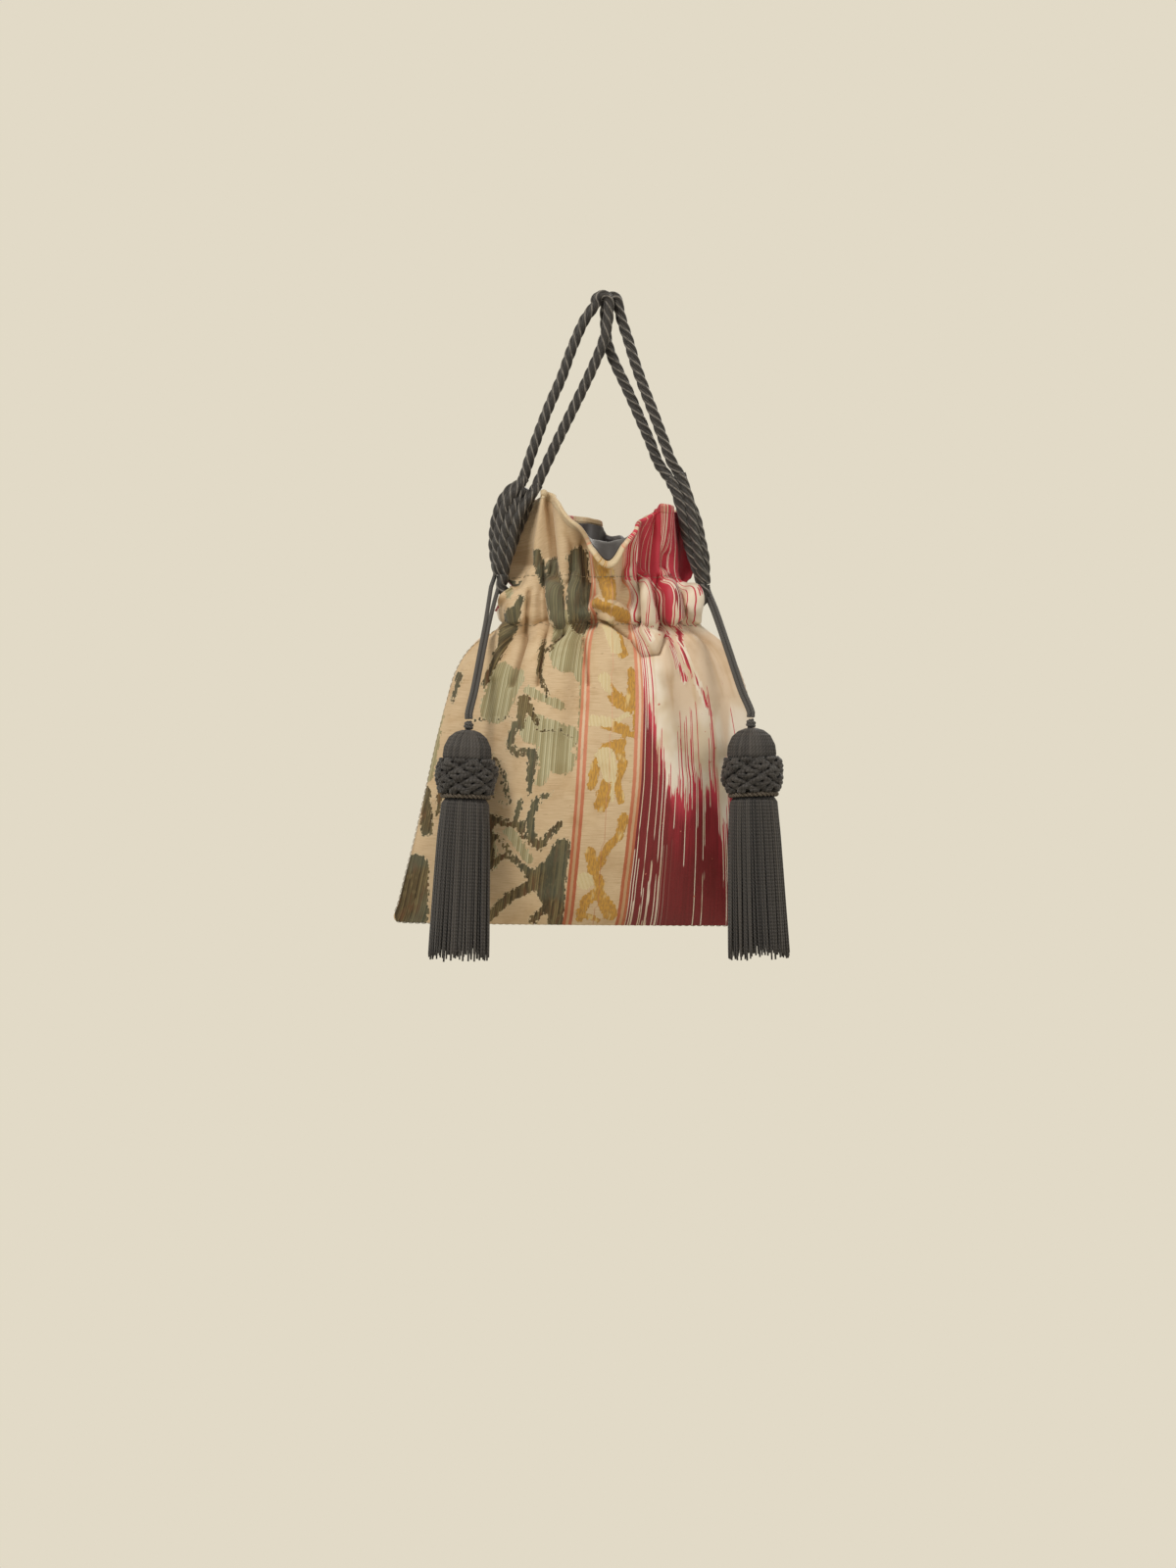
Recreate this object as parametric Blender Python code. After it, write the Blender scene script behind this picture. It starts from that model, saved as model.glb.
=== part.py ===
"""A lined drawstring pouch of woven cloth, hung by the two ropes that draw it shut, with two tassels.

Metres, +Z up. The origin is the point that the pouch hangs from, under the bend of both handles.
The front faces -Y. Left and right are as seen from the front.
"""

import math

import bpy
import numpy as np
from mathutils import Vector

# Stuff that the pouch is made of
ROPE = 0.0052  # diameter of the twisted rope
THIN_CORD = 0.0032  # both strands of a tassel's cord together
CLOTH = 0.0012  # outer cloth
LINING = 0.0006
GAP = 0.0003  # between pieces that touch
RUN_GAP = 0.0009  # where a thin cord swings under its knot, and a tassel under its cord

# The bag below the channel
NECK_CENTRE = -0.003  # the neck hangs a little left of the hook
BOTTOM_Z = -0.3308
BOTTOM_LEFT = -0.1125
BOTTOM_RIGHT = 0.0915
BODY_DEPTH = 0.029  # from the seams to the front, and to the back
CORNER_LIFT = 0.0035
BOTTOM_SLOPE = 0.0025  # how far the right of the bottom seam hangs lower than the left

# The channel that the ropes run in
CHANNEL_TOP = -0.1475
CHANNEL_HEIGHT = 0.0250
NECK_WIDTH = 0.0910  # of the ring that the ropes follow
NECK_DEPTH = 0.0360
NECK_ROUND = 1.5  # 1 is an ellipse, 2 comes to a point at the sides
STITCH_WIDTH = 0.0770  # of the ring of stitches over the channel
FOOT_WIDTH = 0.1000  # of the ring of stitches under the channel
PLEAT = 0.0036  # half the height of a pleat
LEFT_ROPE_Z = CHANNEL_TOP - 0.0093
ROPE_STEP = ROPE + 0.0013
RIGHT_ROPE_Z = LEFT_ROPE_Z - ROPE_STEP
TAIL_SPREAD = ROPE / 2 + 0.0006  # each end of a rope lies this far from the side seam
SLIT_SPREAD = 1.72 * ROPE  # the seam's edges stand this far apart in a slit, to each side
SLIT_REACH = 1.06 * ROPE  # half the slit's height
SLIT_RISE = 0.4 * ROPE  # its middle lies above the ropes, which turn up there
TAIL_MEET = 0.0095  # a rope's end meets the stretch in the channel this far inside the slit
LINING_INSET = 0.0150  # the lining lies this far inside the ropes' ring at the sides
LINING_PLEAT = 0.0010  # half the height of the lining's own pleats there

# The frilled header over the channel
HEADER = 0.0460  # height of its cloth

# Pleats in the gathered cloth, from the left seam at -1 to the right seam at 1: place, height
FRONT_PLEATS = (
    (-1.0, 0.0), (-0.84, -0.7), (-0.65, 0.9), (-0.45, -1.0), (-0.31, 1.0), (-0.24, 0.35), (-0.17, 0.8),
    (-0.08, -1.0), (0.06, 1.0), (0.21, -1.0), (0.32, 0.9), (0.43, -0.9), (0.55, 0.8), (0.67, -0.8),
    (0.82, 1.0), (0.93, -0.5), (1.0, 0.0),
)
BACK_PLEATS = (
    (-1.0, 0.0), (-0.88, -0.6), (-0.74, 0.9), (-0.6, -0.9), (-0.46, 1.0), (-0.31, -1.0), (-0.18, 0.8),
    (-0.05, -0.9), (0.08, 1.0), (0.22, -0.8), (0.36, 0.9), (0.5, -1.0), (0.64, 0.9), (0.78, -0.8),
    (0.9, 0.3), (1.0, 0.0),
)
# Wide soft folds that run on down the bag: place, height
FRONT_FOLDS = (
    (-1.0, 0.0), (-0.78, 0.6), (-0.52, -1.0), (-0.27, 1.0), (0.0, -0.4), (0.3, 0.7), (0.55, -0.9),
    (0.8, 0.5), (1.0, 0.0),
)
BACK_FOLDS = (
    (-1.0, 0.0), (-0.7, 0.8), (-0.4, -0.9), (-0.1, 0.8), (0.2, -1.0), (0.5, 0.9), (0.78, -0.5), (1.0, 0.0),
)
# The bag's levels: share of the way down, shares of the way out to the left and right corners,
# depth in shares of BODY_DEPTH, roundness, pleats, wide folds
LEVELS = (
    (1.00, 1.00, 1.00, 0.00, 2.0, 0.00, 0.00),
    (0.95, 0.955, 0.985, 0.24, 2.0, 0.00, 0.05),
    (0.86, 0.90, 0.96, 0.50, 2.0, 0.00, 0.20),
    (0.72, 0.81, 0.91, 0.80, 2.0, 0.02, 0.50),
    (0.55, 0.71, 0.84, 0.98, 1.9, 0.06, 0.80),
    (0.38, 0.61, 0.74, 1.02, 1.8, 0.12, 1.00),
    (0.25, 0.52, 0.645, 1.00, 1.7, 0.24, 1.00),
    (0.15, 0.44, 0.53, 0.96, 1.6, 0.42, 0.85),
    (0.07, 0.30, 0.36, 0.86, 1.5, 0.72, 0.45),
)
FOLD = 0.0028  # half the height of a wide fold
# The channel's levels: width, depth, how far the cloth stands out of them, pleats, height, droop of the ridges
CHANNEL_LEVELS = (
    (FOOT_WIDTH, 0.0205, 0.0022, 0.95, CHANNEL_TOP - CHANNEL_HEIGHT, 0.0),
    (NECK_WIDTH, NECK_DEPTH / 2, 0.0074, 1.05, CHANNEL_TOP - 0.81 * CHANNEL_HEIGHT, 0.0030),
    (NECK_WIDTH, NECK_DEPTH / 2, 0.0078, 1.0, RIGHT_ROPE_Z, 0.0012),
    (NECK_WIDTH, NECK_DEPTH / 2, 0.0076, 0.95, LEFT_ROPE_Z, 0.0),
    (STITCH_WIDTH, NECK_DEPTH / 2, 0.0030, 0.7, CHANNEL_TOP, 0.0),
)

# The header's rim from the left seam to the right: place, then x, y and z
FRONT_RIM = (
    (-1.0, -0.0315, 0.0, -0.1050), (-0.84, -0.0330, -0.0090, -0.1030), (-0.65, -0.0325, -0.0165, -0.1015),
    (-0.45, -0.0275, -0.0135, -0.1035), (-0.31, -0.0225, -0.0225, -0.1080), (-0.20, -0.0175, -0.0330, -0.1200),
    (-0.08, -0.0105, -0.0420, -0.1330), (0.06, 0.0008, -0.0480, -0.1405), (0.14, 0.0065, -0.0450, -0.1370),
    (0.24, 0.0140, -0.0370, -0.1270), (0.34, 0.0215, -0.0270, -0.1175), (0.44, 0.0265, -0.0200, -0.1125),
    (0.56, 0.0300, -0.0250, -0.1090), (0.69, 0.0335, -0.0190, -0.1100), (0.84, 0.0335, -0.0100, -0.1125),
    (1.0, 0.0310, 0.0, -0.1120),
)
BACK_RIM = (
    (-1.0, -0.0315, 0.0, -0.1050), (-0.85, -0.0325, 0.0110, -0.1040), (-0.6, -0.0295, 0.0215, -0.1090),
    (-0.4, -0.0240, 0.0150, -0.1120), (-0.15, -0.0160, 0.0250, -0.1125), (0.06, -0.0050, 0.0215, -0.1145),
    (0.22, 0.0020, 0.0280, -0.1215), (0.36, 0.0085, 0.0330, -0.1300), (0.48, 0.0140, 0.0290, -0.1260),
    (0.62, 0.0205, 0.0190, -0.1140), (0.78, 0.0280, 0.0230, -0.1085), (0.9, 0.0330, 0.0110, -0.1095),
    (1.0, 0.0310, 0.0, -0.1120),
)

# Knots, by the middle of their top and bottom faces
LEFT_KNOT_TOP = Vector((-0.0418, -0.0010, -0.0995))
LEFT_KNOT_BOTTOM = Vector((-0.0560, -0.0010, -0.1450))
RIGHT_KNOT_TOP = Vector((0.0385, -0.0010, -0.0980))
RIGHT_KNOT_BOTTOM = Vector((0.0530, -0.0010, -0.1500))
KNOT_BOW = 0.0018  # a knot's middle stands this far out from the line between its ends
KNOT_WIDTH = 3.1 * ROPE
KNOT_DEPTH = 2.9 * ROPE
KNOT_END_WIDTH = 2.25 * ROPE
KNOT_END_DEPTH = 2.45 * ROPE
STRAND_SPREAD = 0.56 * ROPE  # a handle's two strands enter the knot this far from its middle
CORD_OUTSET = 0.76 * ROPE  # the thin cord leaves the knot this far out from its middle
TAIL_INSET = 0.42 * ROPE  # the rope's ends leave it this far in

# The handles from the hook down to each knot: x, y and z of the strands' middle. Over the hook they bend
# in an arc.
HOOK_BEND = 0.70 * ROPE  # radius
HANDLE_SPREAD = 0.58 * ROPE  # each handle's distance from the hook's middle along Y
LEFT_OUTER = (
    (-0.0114, -0.0032, -0.0109), (-0.0182, -0.0034, -0.0265), (-0.0234, -0.0034, -0.0411),
    (-0.0302, -0.0034, -0.0567), (-0.0354, -0.0032, -0.0702), (-0.0404, -0.0028, -0.0842),
)
LEFT_INNER = (
    (0.0010, -0.0034, -0.0120), (-0.0016, -0.0034, -0.0229), (-0.0062, -0.0030, -0.0343),
    (-0.0125, -0.0024, -0.0478), (-0.0180, -0.0018, -0.0590), (-0.0240, -0.0014, -0.0712),
    (-0.0306, -0.0010, -0.0850),
)
LEFT_BEND = -0.0018  # x of the bend's middle
RIGHT_OUTER = (
    (0.0084, 0.0030, -0.0095), (0.0119, 0.0026, -0.0203), (0.0156, 0.0018, -0.0328),
    (0.0203, 0.0008, -0.0463), (0.0256, -0.0004, -0.0603), (0.0304, -0.0014, -0.0735),
    (0.0346, -0.0022, -0.0850),
)
RIGHT_INNER = (
    (-0.0002, 0.0034, -0.0120), (0.0012, 0.0038, -0.0229), (0.0050, 0.0044, -0.0328),
    (0.0094, 0.0050, -0.0420), (0.0140, 0.0052, -0.0520), (0.0187, 0.0048, -0.0630),
    (0.0236, 0.0040, -0.0745), (0.0281, 0.0028, -0.0860),
)
RIGHT_BEND = 0.0032

# Tassels, by the foot of the thin cord, where the tie begins
LEFT_FOOT = Vector((-0.0715, -0.0345, -0.2235))
RIGHT_FOOT = Vector((0.0755, -0.0330, -0.2225))
LEFT_LEAN = math.radians(2.5)  # the skirt hangs out to the side by this much
RIGHT_LEAN = math.radians(2.0)
TIE_LENGTH = 0.0045
TIE_WIDTH = 0.0052
# Yarn: distance below the tie, radius
YARN = (
    (0.0000, 0.0030), (0.0012, 0.0062), (0.0040, 0.0096), (0.0090, 0.0120), (0.0140, 0.0125), (0.0165, 0.0112),
    (0.0320, 0.0100), (0.0345, 0.0094), (0.0362, 0.0094), (0.0385, 0.0118), (0.0550, 0.0129), (0.0750, 0.0137),
    (0.0950, 0.0144), (0.1080, 0.0149), (0.1180, 0.0153),
)
YARN_RIB = 0.0005
YARN_RIBS = 12
COLLAR_TOP = 0.0152
COLLAR_HEIGHT = 0.0178
COLLAR_RADIUS = 0.0163
COLLAR_EDGE = 0.0012  # its thickness at the top and bottom
BAND_MIDDLE = 0.0353
BAND = 0.0028
BAND_RADIUS = 0.0094 + GAP + BAND / 2

COLOURS = {
    "brocade": (0.52, 0.40, 0.27, 1.0),
    "lining": (0.020, 0.018, 0.018, 1.0),
    "rope": (0.026, 0.021, 0.017, 1.0),
    "yarn": (0.018, 0.015, 0.014, 1.0),
}


def hermite(t, start, rise, end, fall):
    """A point on the cubic from start to end, with the slopes rise and fall there."""
    return (
        (2 * t**3 - 3 * t**2 + 1) * start + (t**3 - 2 * t**2 + t) * rise
        + (3 * t**2 - 2 * t**3) * end + (t**3 - t**2) * fall
    )


def through(table, places):
    """The columns of a table of smooth extremes at the places given, by a cubic that never overshoots them."""
    rows = np.array(table, float)
    at, values = rows[:, 0], rows[:, 1:]
    steps = np.diff(at)[:, None]
    slopes = np.diff(values, axis=0) / steps
    before, after = slopes[:-1], slopes[1:]
    same = before * after > 0
    inner = np.where(same, 2 * before * after / np.where(same, before + after, 1.0), 0.0)
    bends = np.vstack([slopes[:1], inner, slopes[-1:]])
    places = np.asarray(places, float)
    index = np.clip(np.searchsorted(at, places, side="right") - 1, 0, len(at) - 2)
    width = steps[index]
    t = ((places - at[index]) / width[:, 0])[:, None]
    return hermite(t, values[index], width * bends[index], values[index + 1], width * bends[index + 1])


def ring(side, across, left, right, depth, roundness, outset):
    """One level of the cloth, in plan. side is -1 at the front and 1 at the back, across runs from -1 to 1."""
    angle = across * math.pi / 2
    half = (right - left) / 2
    x = (left + right) / 2 + half * np.sin(angle)
    y = side * depth * np.cos(angle).clip(0) ** roundness
    out = np.stack([np.sin(angle) / half, side * np.cos(angle) / max(depth, 0.3 * half)], 1)
    out /= np.linalg.norm(out, axis=1, keepdims=True)
    return np.stack([x + outset * out[:, 0], y + outset * out[:, 1]], 1)


def level(side, across, left, right, depth, roundness, outset, z):
    """One level of the cloth as points in space. z is one height, or one for each point."""
    flat = ring(side, across, left, right, depth, roundness, outset)
    return np.column_stack([flat, np.broadcast_to(z, len(flat))])


def stations(side, across):
    """The outer cloth's levels from the bottom seam up to the rim, each as points at the places across."""
    pleats = through(FRONT_PLEATS if side < 0 else BACK_PLEATS, across)[:, 0]
    folds = through(FRONT_FOLDS if side < 0 else BACK_FOLDS, across)[:, 0]
    ridges = pleats.clip(0)
    foot = CHANNEL_TOP - CHANNEL_HEIGHT
    half_foot = FOOT_WIDTH / 2
    corner = np.abs(across) ** 14
    levels = []
    for down, left, right, depth, roundness, pleat, fold in LEVELS:
        z = foot + down * (BOTTOM_Z - foot) + down**4 * (CORNER_LIFT * corner - BOTTOM_SLOPE * across / 2)
        seam = CLOTH / 2 + GAP / 2
        levels.append(
            level(
                side, across,
                NECK_CENTRE - half_foot + left * (BOTTOM_LEFT - NECK_CENTRE + half_foot),
                NECK_CENTRE + half_foot + right * (BOTTOM_RIGHT - NECK_CENTRE - half_foot),
                seam + depth * BODY_DEPTH, roundness, pleat * PLEAT * pleats + fold * FOLD * folds, z,
            )
        )
    for width, depth, outset, height, z, droop in CHANNEL_LEVELS:
        left = NECK_CENTRE - width / 2
        right = NECK_CENTRE + width / 2
        levels.append(
            level(side, across, left, right, depth, NECK_ROUND, outset + height * PLEAT * pleats, z - droop * ridges)
        )
    rim = through(FRONT_RIM if side < 0 else BACK_RIM, across)
    levels.append(arch(levels[-1], rim))
    levels.append(rim)
    return levels


def arch(low, rim):
    """The header half way up. Where its rim leans out, its cloth arches up over the straight way."""
    chord = rim - low
    length = np.linalg.norm(chord, axis=1, keepdims=True)
    slack = (HEADER - length).clip(0.0002)
    rise = np.sqrt(3 * length * slack / 8)
    lean = np.array([0.0, 0.0, 1.0]) - chord * chord[:, 2:] / length**2
    return low + chord / 2 + lean * rise


FOOT_ROW = len(LEVELS)
TOP_ROW = FOOT_ROW + 4
RIM_ROW = TOP_ROW + 2
HEM_ROW = RIM_ROW - 0.28  # the lining ends under the hem, from here up
ROWS = sorted([*range(RIM_ROW + 1), TOP_ROW - 0.4, TOP_ROW + 0.5, TOP_ROW + 1.4, HEM_ROW, HEM_ROW + 0.06])
# Rows of the channel where the lining parts from the outer cloth, and its share of the way to its own ring
PARTED = {FOOT_ROW + 1: 1.0, FOOT_ROW + 2: 1.0, FOOT_ROW + 3: 1.0, TOP_ROW - 0.4: 0.85}


def slit(side, across, points):
    """Parts the side seam round the ends of each rope, and keeps the panel on its own side of the seam."""
    left = np.exp(-(((points[:, 2] - LEFT_ROPE_Z - SLIT_RISE) / SLIT_REACH) ** 4)) * (across < 0)
    right = np.exp(-(((points[:, 2] - RIGHT_ROPE_Z - SLIT_RISE) / SLIT_REACH) ** 4)) * (across > 0)
    points[:, 1] += side * SLIT_SPREAD * (left + right) * across**4
    return points


def cloth_row(side, row, across):
    """The outer cloth's middle at one height, where row counts the levels of stations()."""
    levels = stations(side, across)
    low = min(int(row), RIM_ROW - 1)
    t = row - low
    before = levels[max(low - 1, 0)]
    start, end = levels[low], levels[low + 1]
    after = levels[min(low + 2, RIM_ROW)]
    points = slit(side, across, hermite(t, start, (end - before) / 2, end, (after - start) / 2))
    points[:, 1] = side * np.maximum(side * points[:, 1], CLOTH / 2 + GAP / 2)
    return points


def normals_of(side, grid):
    """Outward directions over a grid of points, evened out so that a thick cloth never folds into itself."""
    along = np.gradient(grid, axis=1)
    up = np.gradient(grid, axis=0)
    normals = np.cross(along, up) * -side
    normals /= np.linalg.norm(normals, axis=2, keepdims=True).clip(1e-9)
    for _ in range(2):
        padded = np.pad(normals, ((1, 1), (1, 1), (0, 0)), mode="edge")
        beside = padded[1:-1, 2:] + padded[1:-1, :-2]
        above = padded[2:, 1:-1] + padded[:-2, 1:-1]
        normals = padded[1:-1, 1:-1] * 2 + beside + 0.5 * above
        normals /= np.linalg.norm(normals, axis=2, keepdims=True)
    return normals


def lining_ring(side, across, z, pleats, outset):
    """The lining inside the ropes, with its own pleats pointing in."""
    half = NECK_WIDTH / 2 - LINING_INSET
    depth = NECK_DEPTH / 2 - ROPE / 2 - 4 * GAP - LINING / 2
    outset = outset + LINING_PLEAT * (pleats - 1) * np.cos(across * math.pi / 2)
    return level(side, across, NECK_CENTRE - half, NECK_CENTRE + half, depth, NECK_ROUND, outset, z)


def seam_place(side, row, end):
    """How far across a lining reaches at one height, so that its edge stays clear of the outer cloth's seam."""
    tries = np.linspace(0.6, 0.985, 78) * end
    depth = side * cloth_row(side, row, tries)[:, 1]
    inside = depth >= CLOTH + LINING + 3 * GAP
    return abs(tries[np.nonzero(inside)[0][-1]]) if inside.any() else 0.8


def cloth_grid(side):
    """The outer cloth's middle and outward directions.

    The first and last columns lie in the seams, and the lining ends at the columns next to them. The others
    stand on each pleat's ridge, valley and flank."""
    marks = np.array([place for place, _ in (FRONT_PLEATS if side < 0 else BACK_PLEATS)])
    marks = np.sort(np.concatenate([marks, (marks[:-1] + marks[1:]) / 2]))
    grid = []
    for row in ROWS:
        reach = np.where(marks < 0, seam_place(side, row, -1), seam_place(side, row, 1))
        grid.append(cloth_row(side, row, np.concatenate([[-1.0], marks * reach, [1.0]])))
    grid = np.stack(grid)
    return marks, grid, normals_of(side, grid)


def closed_sheet(name, outer, inner, material):
    """A solid between two grids of points that face each other."""
    rows, columns = outer.shape[:2]
    points = np.vstack([outer.reshape(-1, 3), inner.reshape(-1, 3)])
    back = rows * columns
    faces = []
    for i in range(rows - 1):
        for j in range(columns - 1):
            a = i * columns + j
            b, c, d = a + 1, a + columns + 1, a + columns
            faces += [(a, b, c), (a, c, d), (back + c, back + b, back + a), (back + d, back + c, back + a)]
    bottom = list(range(columns))
    right = [i * columns + columns - 1 for i in range(rows)]
    top = [(rows - 1) * columns + j for j in reversed(range(columns))]
    left = [i * columns for i in reversed(range(rows))]
    for edge in (bottom, right, top, left):
        for a, b in zip(edge, edge[1:]):
            faces.append((b, a, back + a, back + b))
    return solid(name, points, faces, material)


def solid(name, points, faces, material):
    """An object with its faces turned outwards."""
    mesh = bpy.data.meshes.new(name)
    mesh.from_pydata([tuple(p) for p in points], [], faces)
    mesh.update()
    corners = np.array([v.co for v in mesh.vertices])
    mesh.calc_loop_triangles()
    triangles = np.array([t.vertices for t in mesh.loop_triangles])
    a, b, c = corners[triangles[:, 0]], corners[triangles[:, 1]], corners[triangles[:, 2]]
    if np.einsum("ij,ij->i", a, np.cross(b, c)).sum() < 0:
        mesh.flip_normals()
    return place(name, mesh, material)


def place(name, data, material):
    ob = bpy.data.objects.new(name, data)
    bpy.context.scene.collection.objects.link(ob)
    ob.data.materials.append(finish(name, material))
    if ob.type == "MESH":
        data.shade_smooth()
    return ob


def finish(name, kind):
    """Each piece has a material of its own, of one of the kinds in COLOURS."""
    made = bpy.data.materials.new(f"{kind}_{name}")
    made.use_nodes = True
    shader = made.node_tree.nodes["Principled BSDF"]
    shader.inputs["Base Color"].default_value = COLOURS[kind]
    shader.inputs["Roughness"].default_value = 0.9 if kind == "lining" else 0.7
    return made


def own_side(side, grid):
    """Keeps a grid on its own side of the seams by half a gap."""
    grid[..., 1] = side * np.maximum(side * grid[..., 1], GAP / 2)
    return grid


def make_panel(name, side):
    _, grid, normals = cloth_grid(side)
    # the hem is the cloth turned in over itself, as thick as the lining that it covers
    hem = np.array([1.0 if row > HEM_ROW else 0.0 for row in ROWS])[:, None, None]
    outer = own_side(side, grid + normals * CLOTH / 2)
    inner = own_side(side, grid - normals * (CLOTH / 2 + hem * (LINING + GAP)))
    return closed_sheet(name, outer, inner, "brocade")


def make_lining(name, side):
    marks, grid, normals = cloth_grid(side)
    kept = [i for i, row in enumerate(ROWS) if 1 <= row <= HEM_ROW]
    grid, normals = grid[kept, 1:-1], normals[kept, 1:-1]
    pleats = through(FRONT_PLEATS if side < 0 else BACK_PLEATS, marks)[:, 0]
    share = np.array([PARTED.get(ROWS[i], 0.0) for i in kept])[:, None, None]
    faces = []
    for face in (LINING / 2, -LINING / 2):
        sewn = grid - normals * (CLOTH / 2 + GAP + LINING / 2 - face)
        apart = np.stack([lining_ring(side, marks, row[:, 2].mean(), pleats, face) for row in grid])
        faces.append(own_side(side, sewn * (1 - share) + apart * share))
    return closed_sheet(name, *faces, "lining")


def smooth_route(route, spacing):
    """Points on a smooth curve through a route's own points, about a spacing apart."""
    points = [Vector(p) for p in route]
    made = [points[0]]
    for i in range(len(points) - 1):
        start, end = points[i], points[i + 1]
        before = points[i - 1] if i else start * 2 - end
        after = points[i + 2] if i + 2 < len(points) else end * 2 - start
        cuts = max(1, round((end - start).length / spacing))
        for k in range(1, cuts + 1):
            rise = (end - before) * ((end - start).length / (end - before).length)
            fall = (after - start) * ((end - start).length / (after - start).length)
            made.append(hermite(k / cuts, start, rise, end, fall))
    return made


def make_tube(name, route, diameter, material, resolution):
    curve = bpy.data.curves.new(name, "CURVE")
    curve.dimensions = "3D"
    curve.bevel_depth = diameter / 2
    curve.bevel_resolution = resolution
    curve.use_fill_caps = True
    points = smooth_route(route, 2.2 * diameter)
    spline = curve.splines.new("POLY")
    spline.points.add(len(points) - 1)
    for target, point in zip(spline.points, points):
        target.co = (*point, 1.0)
    return place(name, curve, material)


def make_turned(name, profile, ribs, rib, material, closed_loop=False):
    """A solid turned about Z from distances below the origin and radii, with ribs down its length."""
    sides = 2 * ribs
    rows = len(profile)
    points = []
    for down, radius in profile:
        for k in range(sides):
            angle = 2 * math.pi * k / sides
            r = radius + (rib if k % 2 else 0.0)
            points.append((r * math.cos(angle), r * math.sin(angle), -down))
    faces = []
    for i in range(rows if closed_loop else rows - 1):
        for k in range(sides):
            a = i * sides + k
            b = i * sides + (k + 1) % sides
            c = (i + 1) % rows * sides + (k + 1) % sides
            d = (i + 1) % rows * sides + k
            faces.append((a, b, c, d))
    if not closed_loop:
        faces.append(tuple(reversed(range(sides))))
        faces.append(tuple((rows - 1) * sides + k for k in range(sides)))
    return solid(name, points, faces, material)


def knot_frame(top, bottom, t):
    """A point on a knot's bowed axis, its way down there, and the way out from the pouch in the handles' plane."""
    chord = bottom - top
    out = Vector((math.copysign(1.0, top.x), 0.0, 0.0))
    out = (out - chord * (out.dot(chord) / chord.length_squared)).normalized()
    point = top + chord * t + out * KNOT_BOW * 4 * t * (1 - t)
    down = (chord + out * KNOT_BOW * 4 * (1 - 2 * t)).normalized()
    return point, down, (out - down * out.dot(down)).normalized()


def make_knot(name, top, bottom):
    """The outer shape of the knot: a barrel that the rope's turns run round at a slant."""
    back = Vector((0.0, 1.0, 0.0))
    sides, rows = 18, 12
    points, faces = [], []
    for i in range(rows + 1):
        t = i / rows
        swell = math.sin(math.pi * t) ** 0.6
        middle, _, out = knot_frame(top, bottom, t)
        for k in range(sides):
            angle = 2 * math.pi * k / sides
            groove = 1 + 0.09 * swell * math.cos(3 * angle + 2.5 * math.pi * t)
            width = (KNOT_END_WIDTH + (KNOT_WIDTH - KNOT_END_WIDTH) * swell) / 2 * groove
            depth = (KNOT_END_DEPTH + (KNOT_DEPTH - KNOT_END_DEPTH) * swell) / 2 * groove
            points.append(middle + out * width * math.cos(angle) + back * depth * math.sin(angle))
    for i in range(rows):
        for k in range(sides):
            a = i * sides + k
            b = i * sides + (k + 1) % sides
            faces.append((a, b, b + sides, a + sides))
    faces.append(tuple(reversed(range(sides))))
    faces.append(tuple(rows * sides + k for k in range(sides)))
    return solid(name, points, faces, "rope")


def handle_route(side, outer, inner, bend, top, bottom):
    """From the knot up the outer strand, over the hook and down the inner strand. side is -1 at the left."""
    _, down, out = knot_frame(top, bottom, 0.0)
    y = side * HANDLE_SPREAD
    turn = [
        Vector((bend + side * HOOK_BEND * math.cos(a), y, ROPE / 2 - HOOK_BEND + HOOK_BEND * math.sin(a)))
        for a in np.linspace(-0.25, math.pi + 0.25, 8)
    ]
    below = [top - down * reach for reach in (GAP, 0.0045)]
    route = [p + out * STRAND_SPREAD for p in below]
    route += [Vector(p) for p in reversed(outer)]
    route += turn
    route += [Vector(p) for p in inner]
    route += [p - out * STRAND_SPREAD for p in reversed(below)]
    return route


def run_route(side, z):
    """One rope in the channel: from its slit along the front, round the far side and back along the back."""
    half = NECK_WIDTH / 2
    depth = NECK_DEPTH / 2
    start = half - TAIL_MEET
    near = [
        (start, TAIL_SPREAD), (start - 0.0010, TAIL_SPREAD), (start - 0.0045, 1.35 * TAIL_SPREAD),
        (0.62 * half, 0.46 * depth), (0.47 * half, 0.69 * depth),
    ]
    front = [(side * x, -y) for x, y in near]
    for angle in np.radians([12.0, -10.0, -30.0, -48.0, -63.0, -78.0]):
        front.append((side * half * math.sin(angle), -depth * math.cos(angle) ** NECK_ROUND))
    end = [(-side * half * 0.985, 0.0)]
    back = [(x, -y) for x, y in reversed(front)]
    return [Vector((NECK_CENTRE + x, y, z)) for x, y in front + end + back]


def tail_route(side, z, lane, top, bottom):
    """One end of a rope: straight out of its slit, then up into the knot."""
    _, down, out = knot_frame(top, bottom, 1.0)
    edge = NECK_CENTRE + side * NECK_WIDTH / 2
    y = lane * TAIL_SPREAD
    up = bottom + down * GAP - out * TAIL_INSET
    turn = max(abs(edge) + 0.0065, abs(up.x) + 0.0015) * side
    return [
        Vector((edge - side * (TAIL_MEET - GAP), y, z)),
        Vector((edge - side * 0.0040, y, z)),
        Vector((edge + side * 0.0025, y, z + 0.0004)),
        Vector((turn, y, 0.55 * z + 0.45 * up.z)),
        Vector((up.x, y, up.z)) + down * 0.0015,
        Vector((up.x, y, up.z)),
    ]


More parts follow.
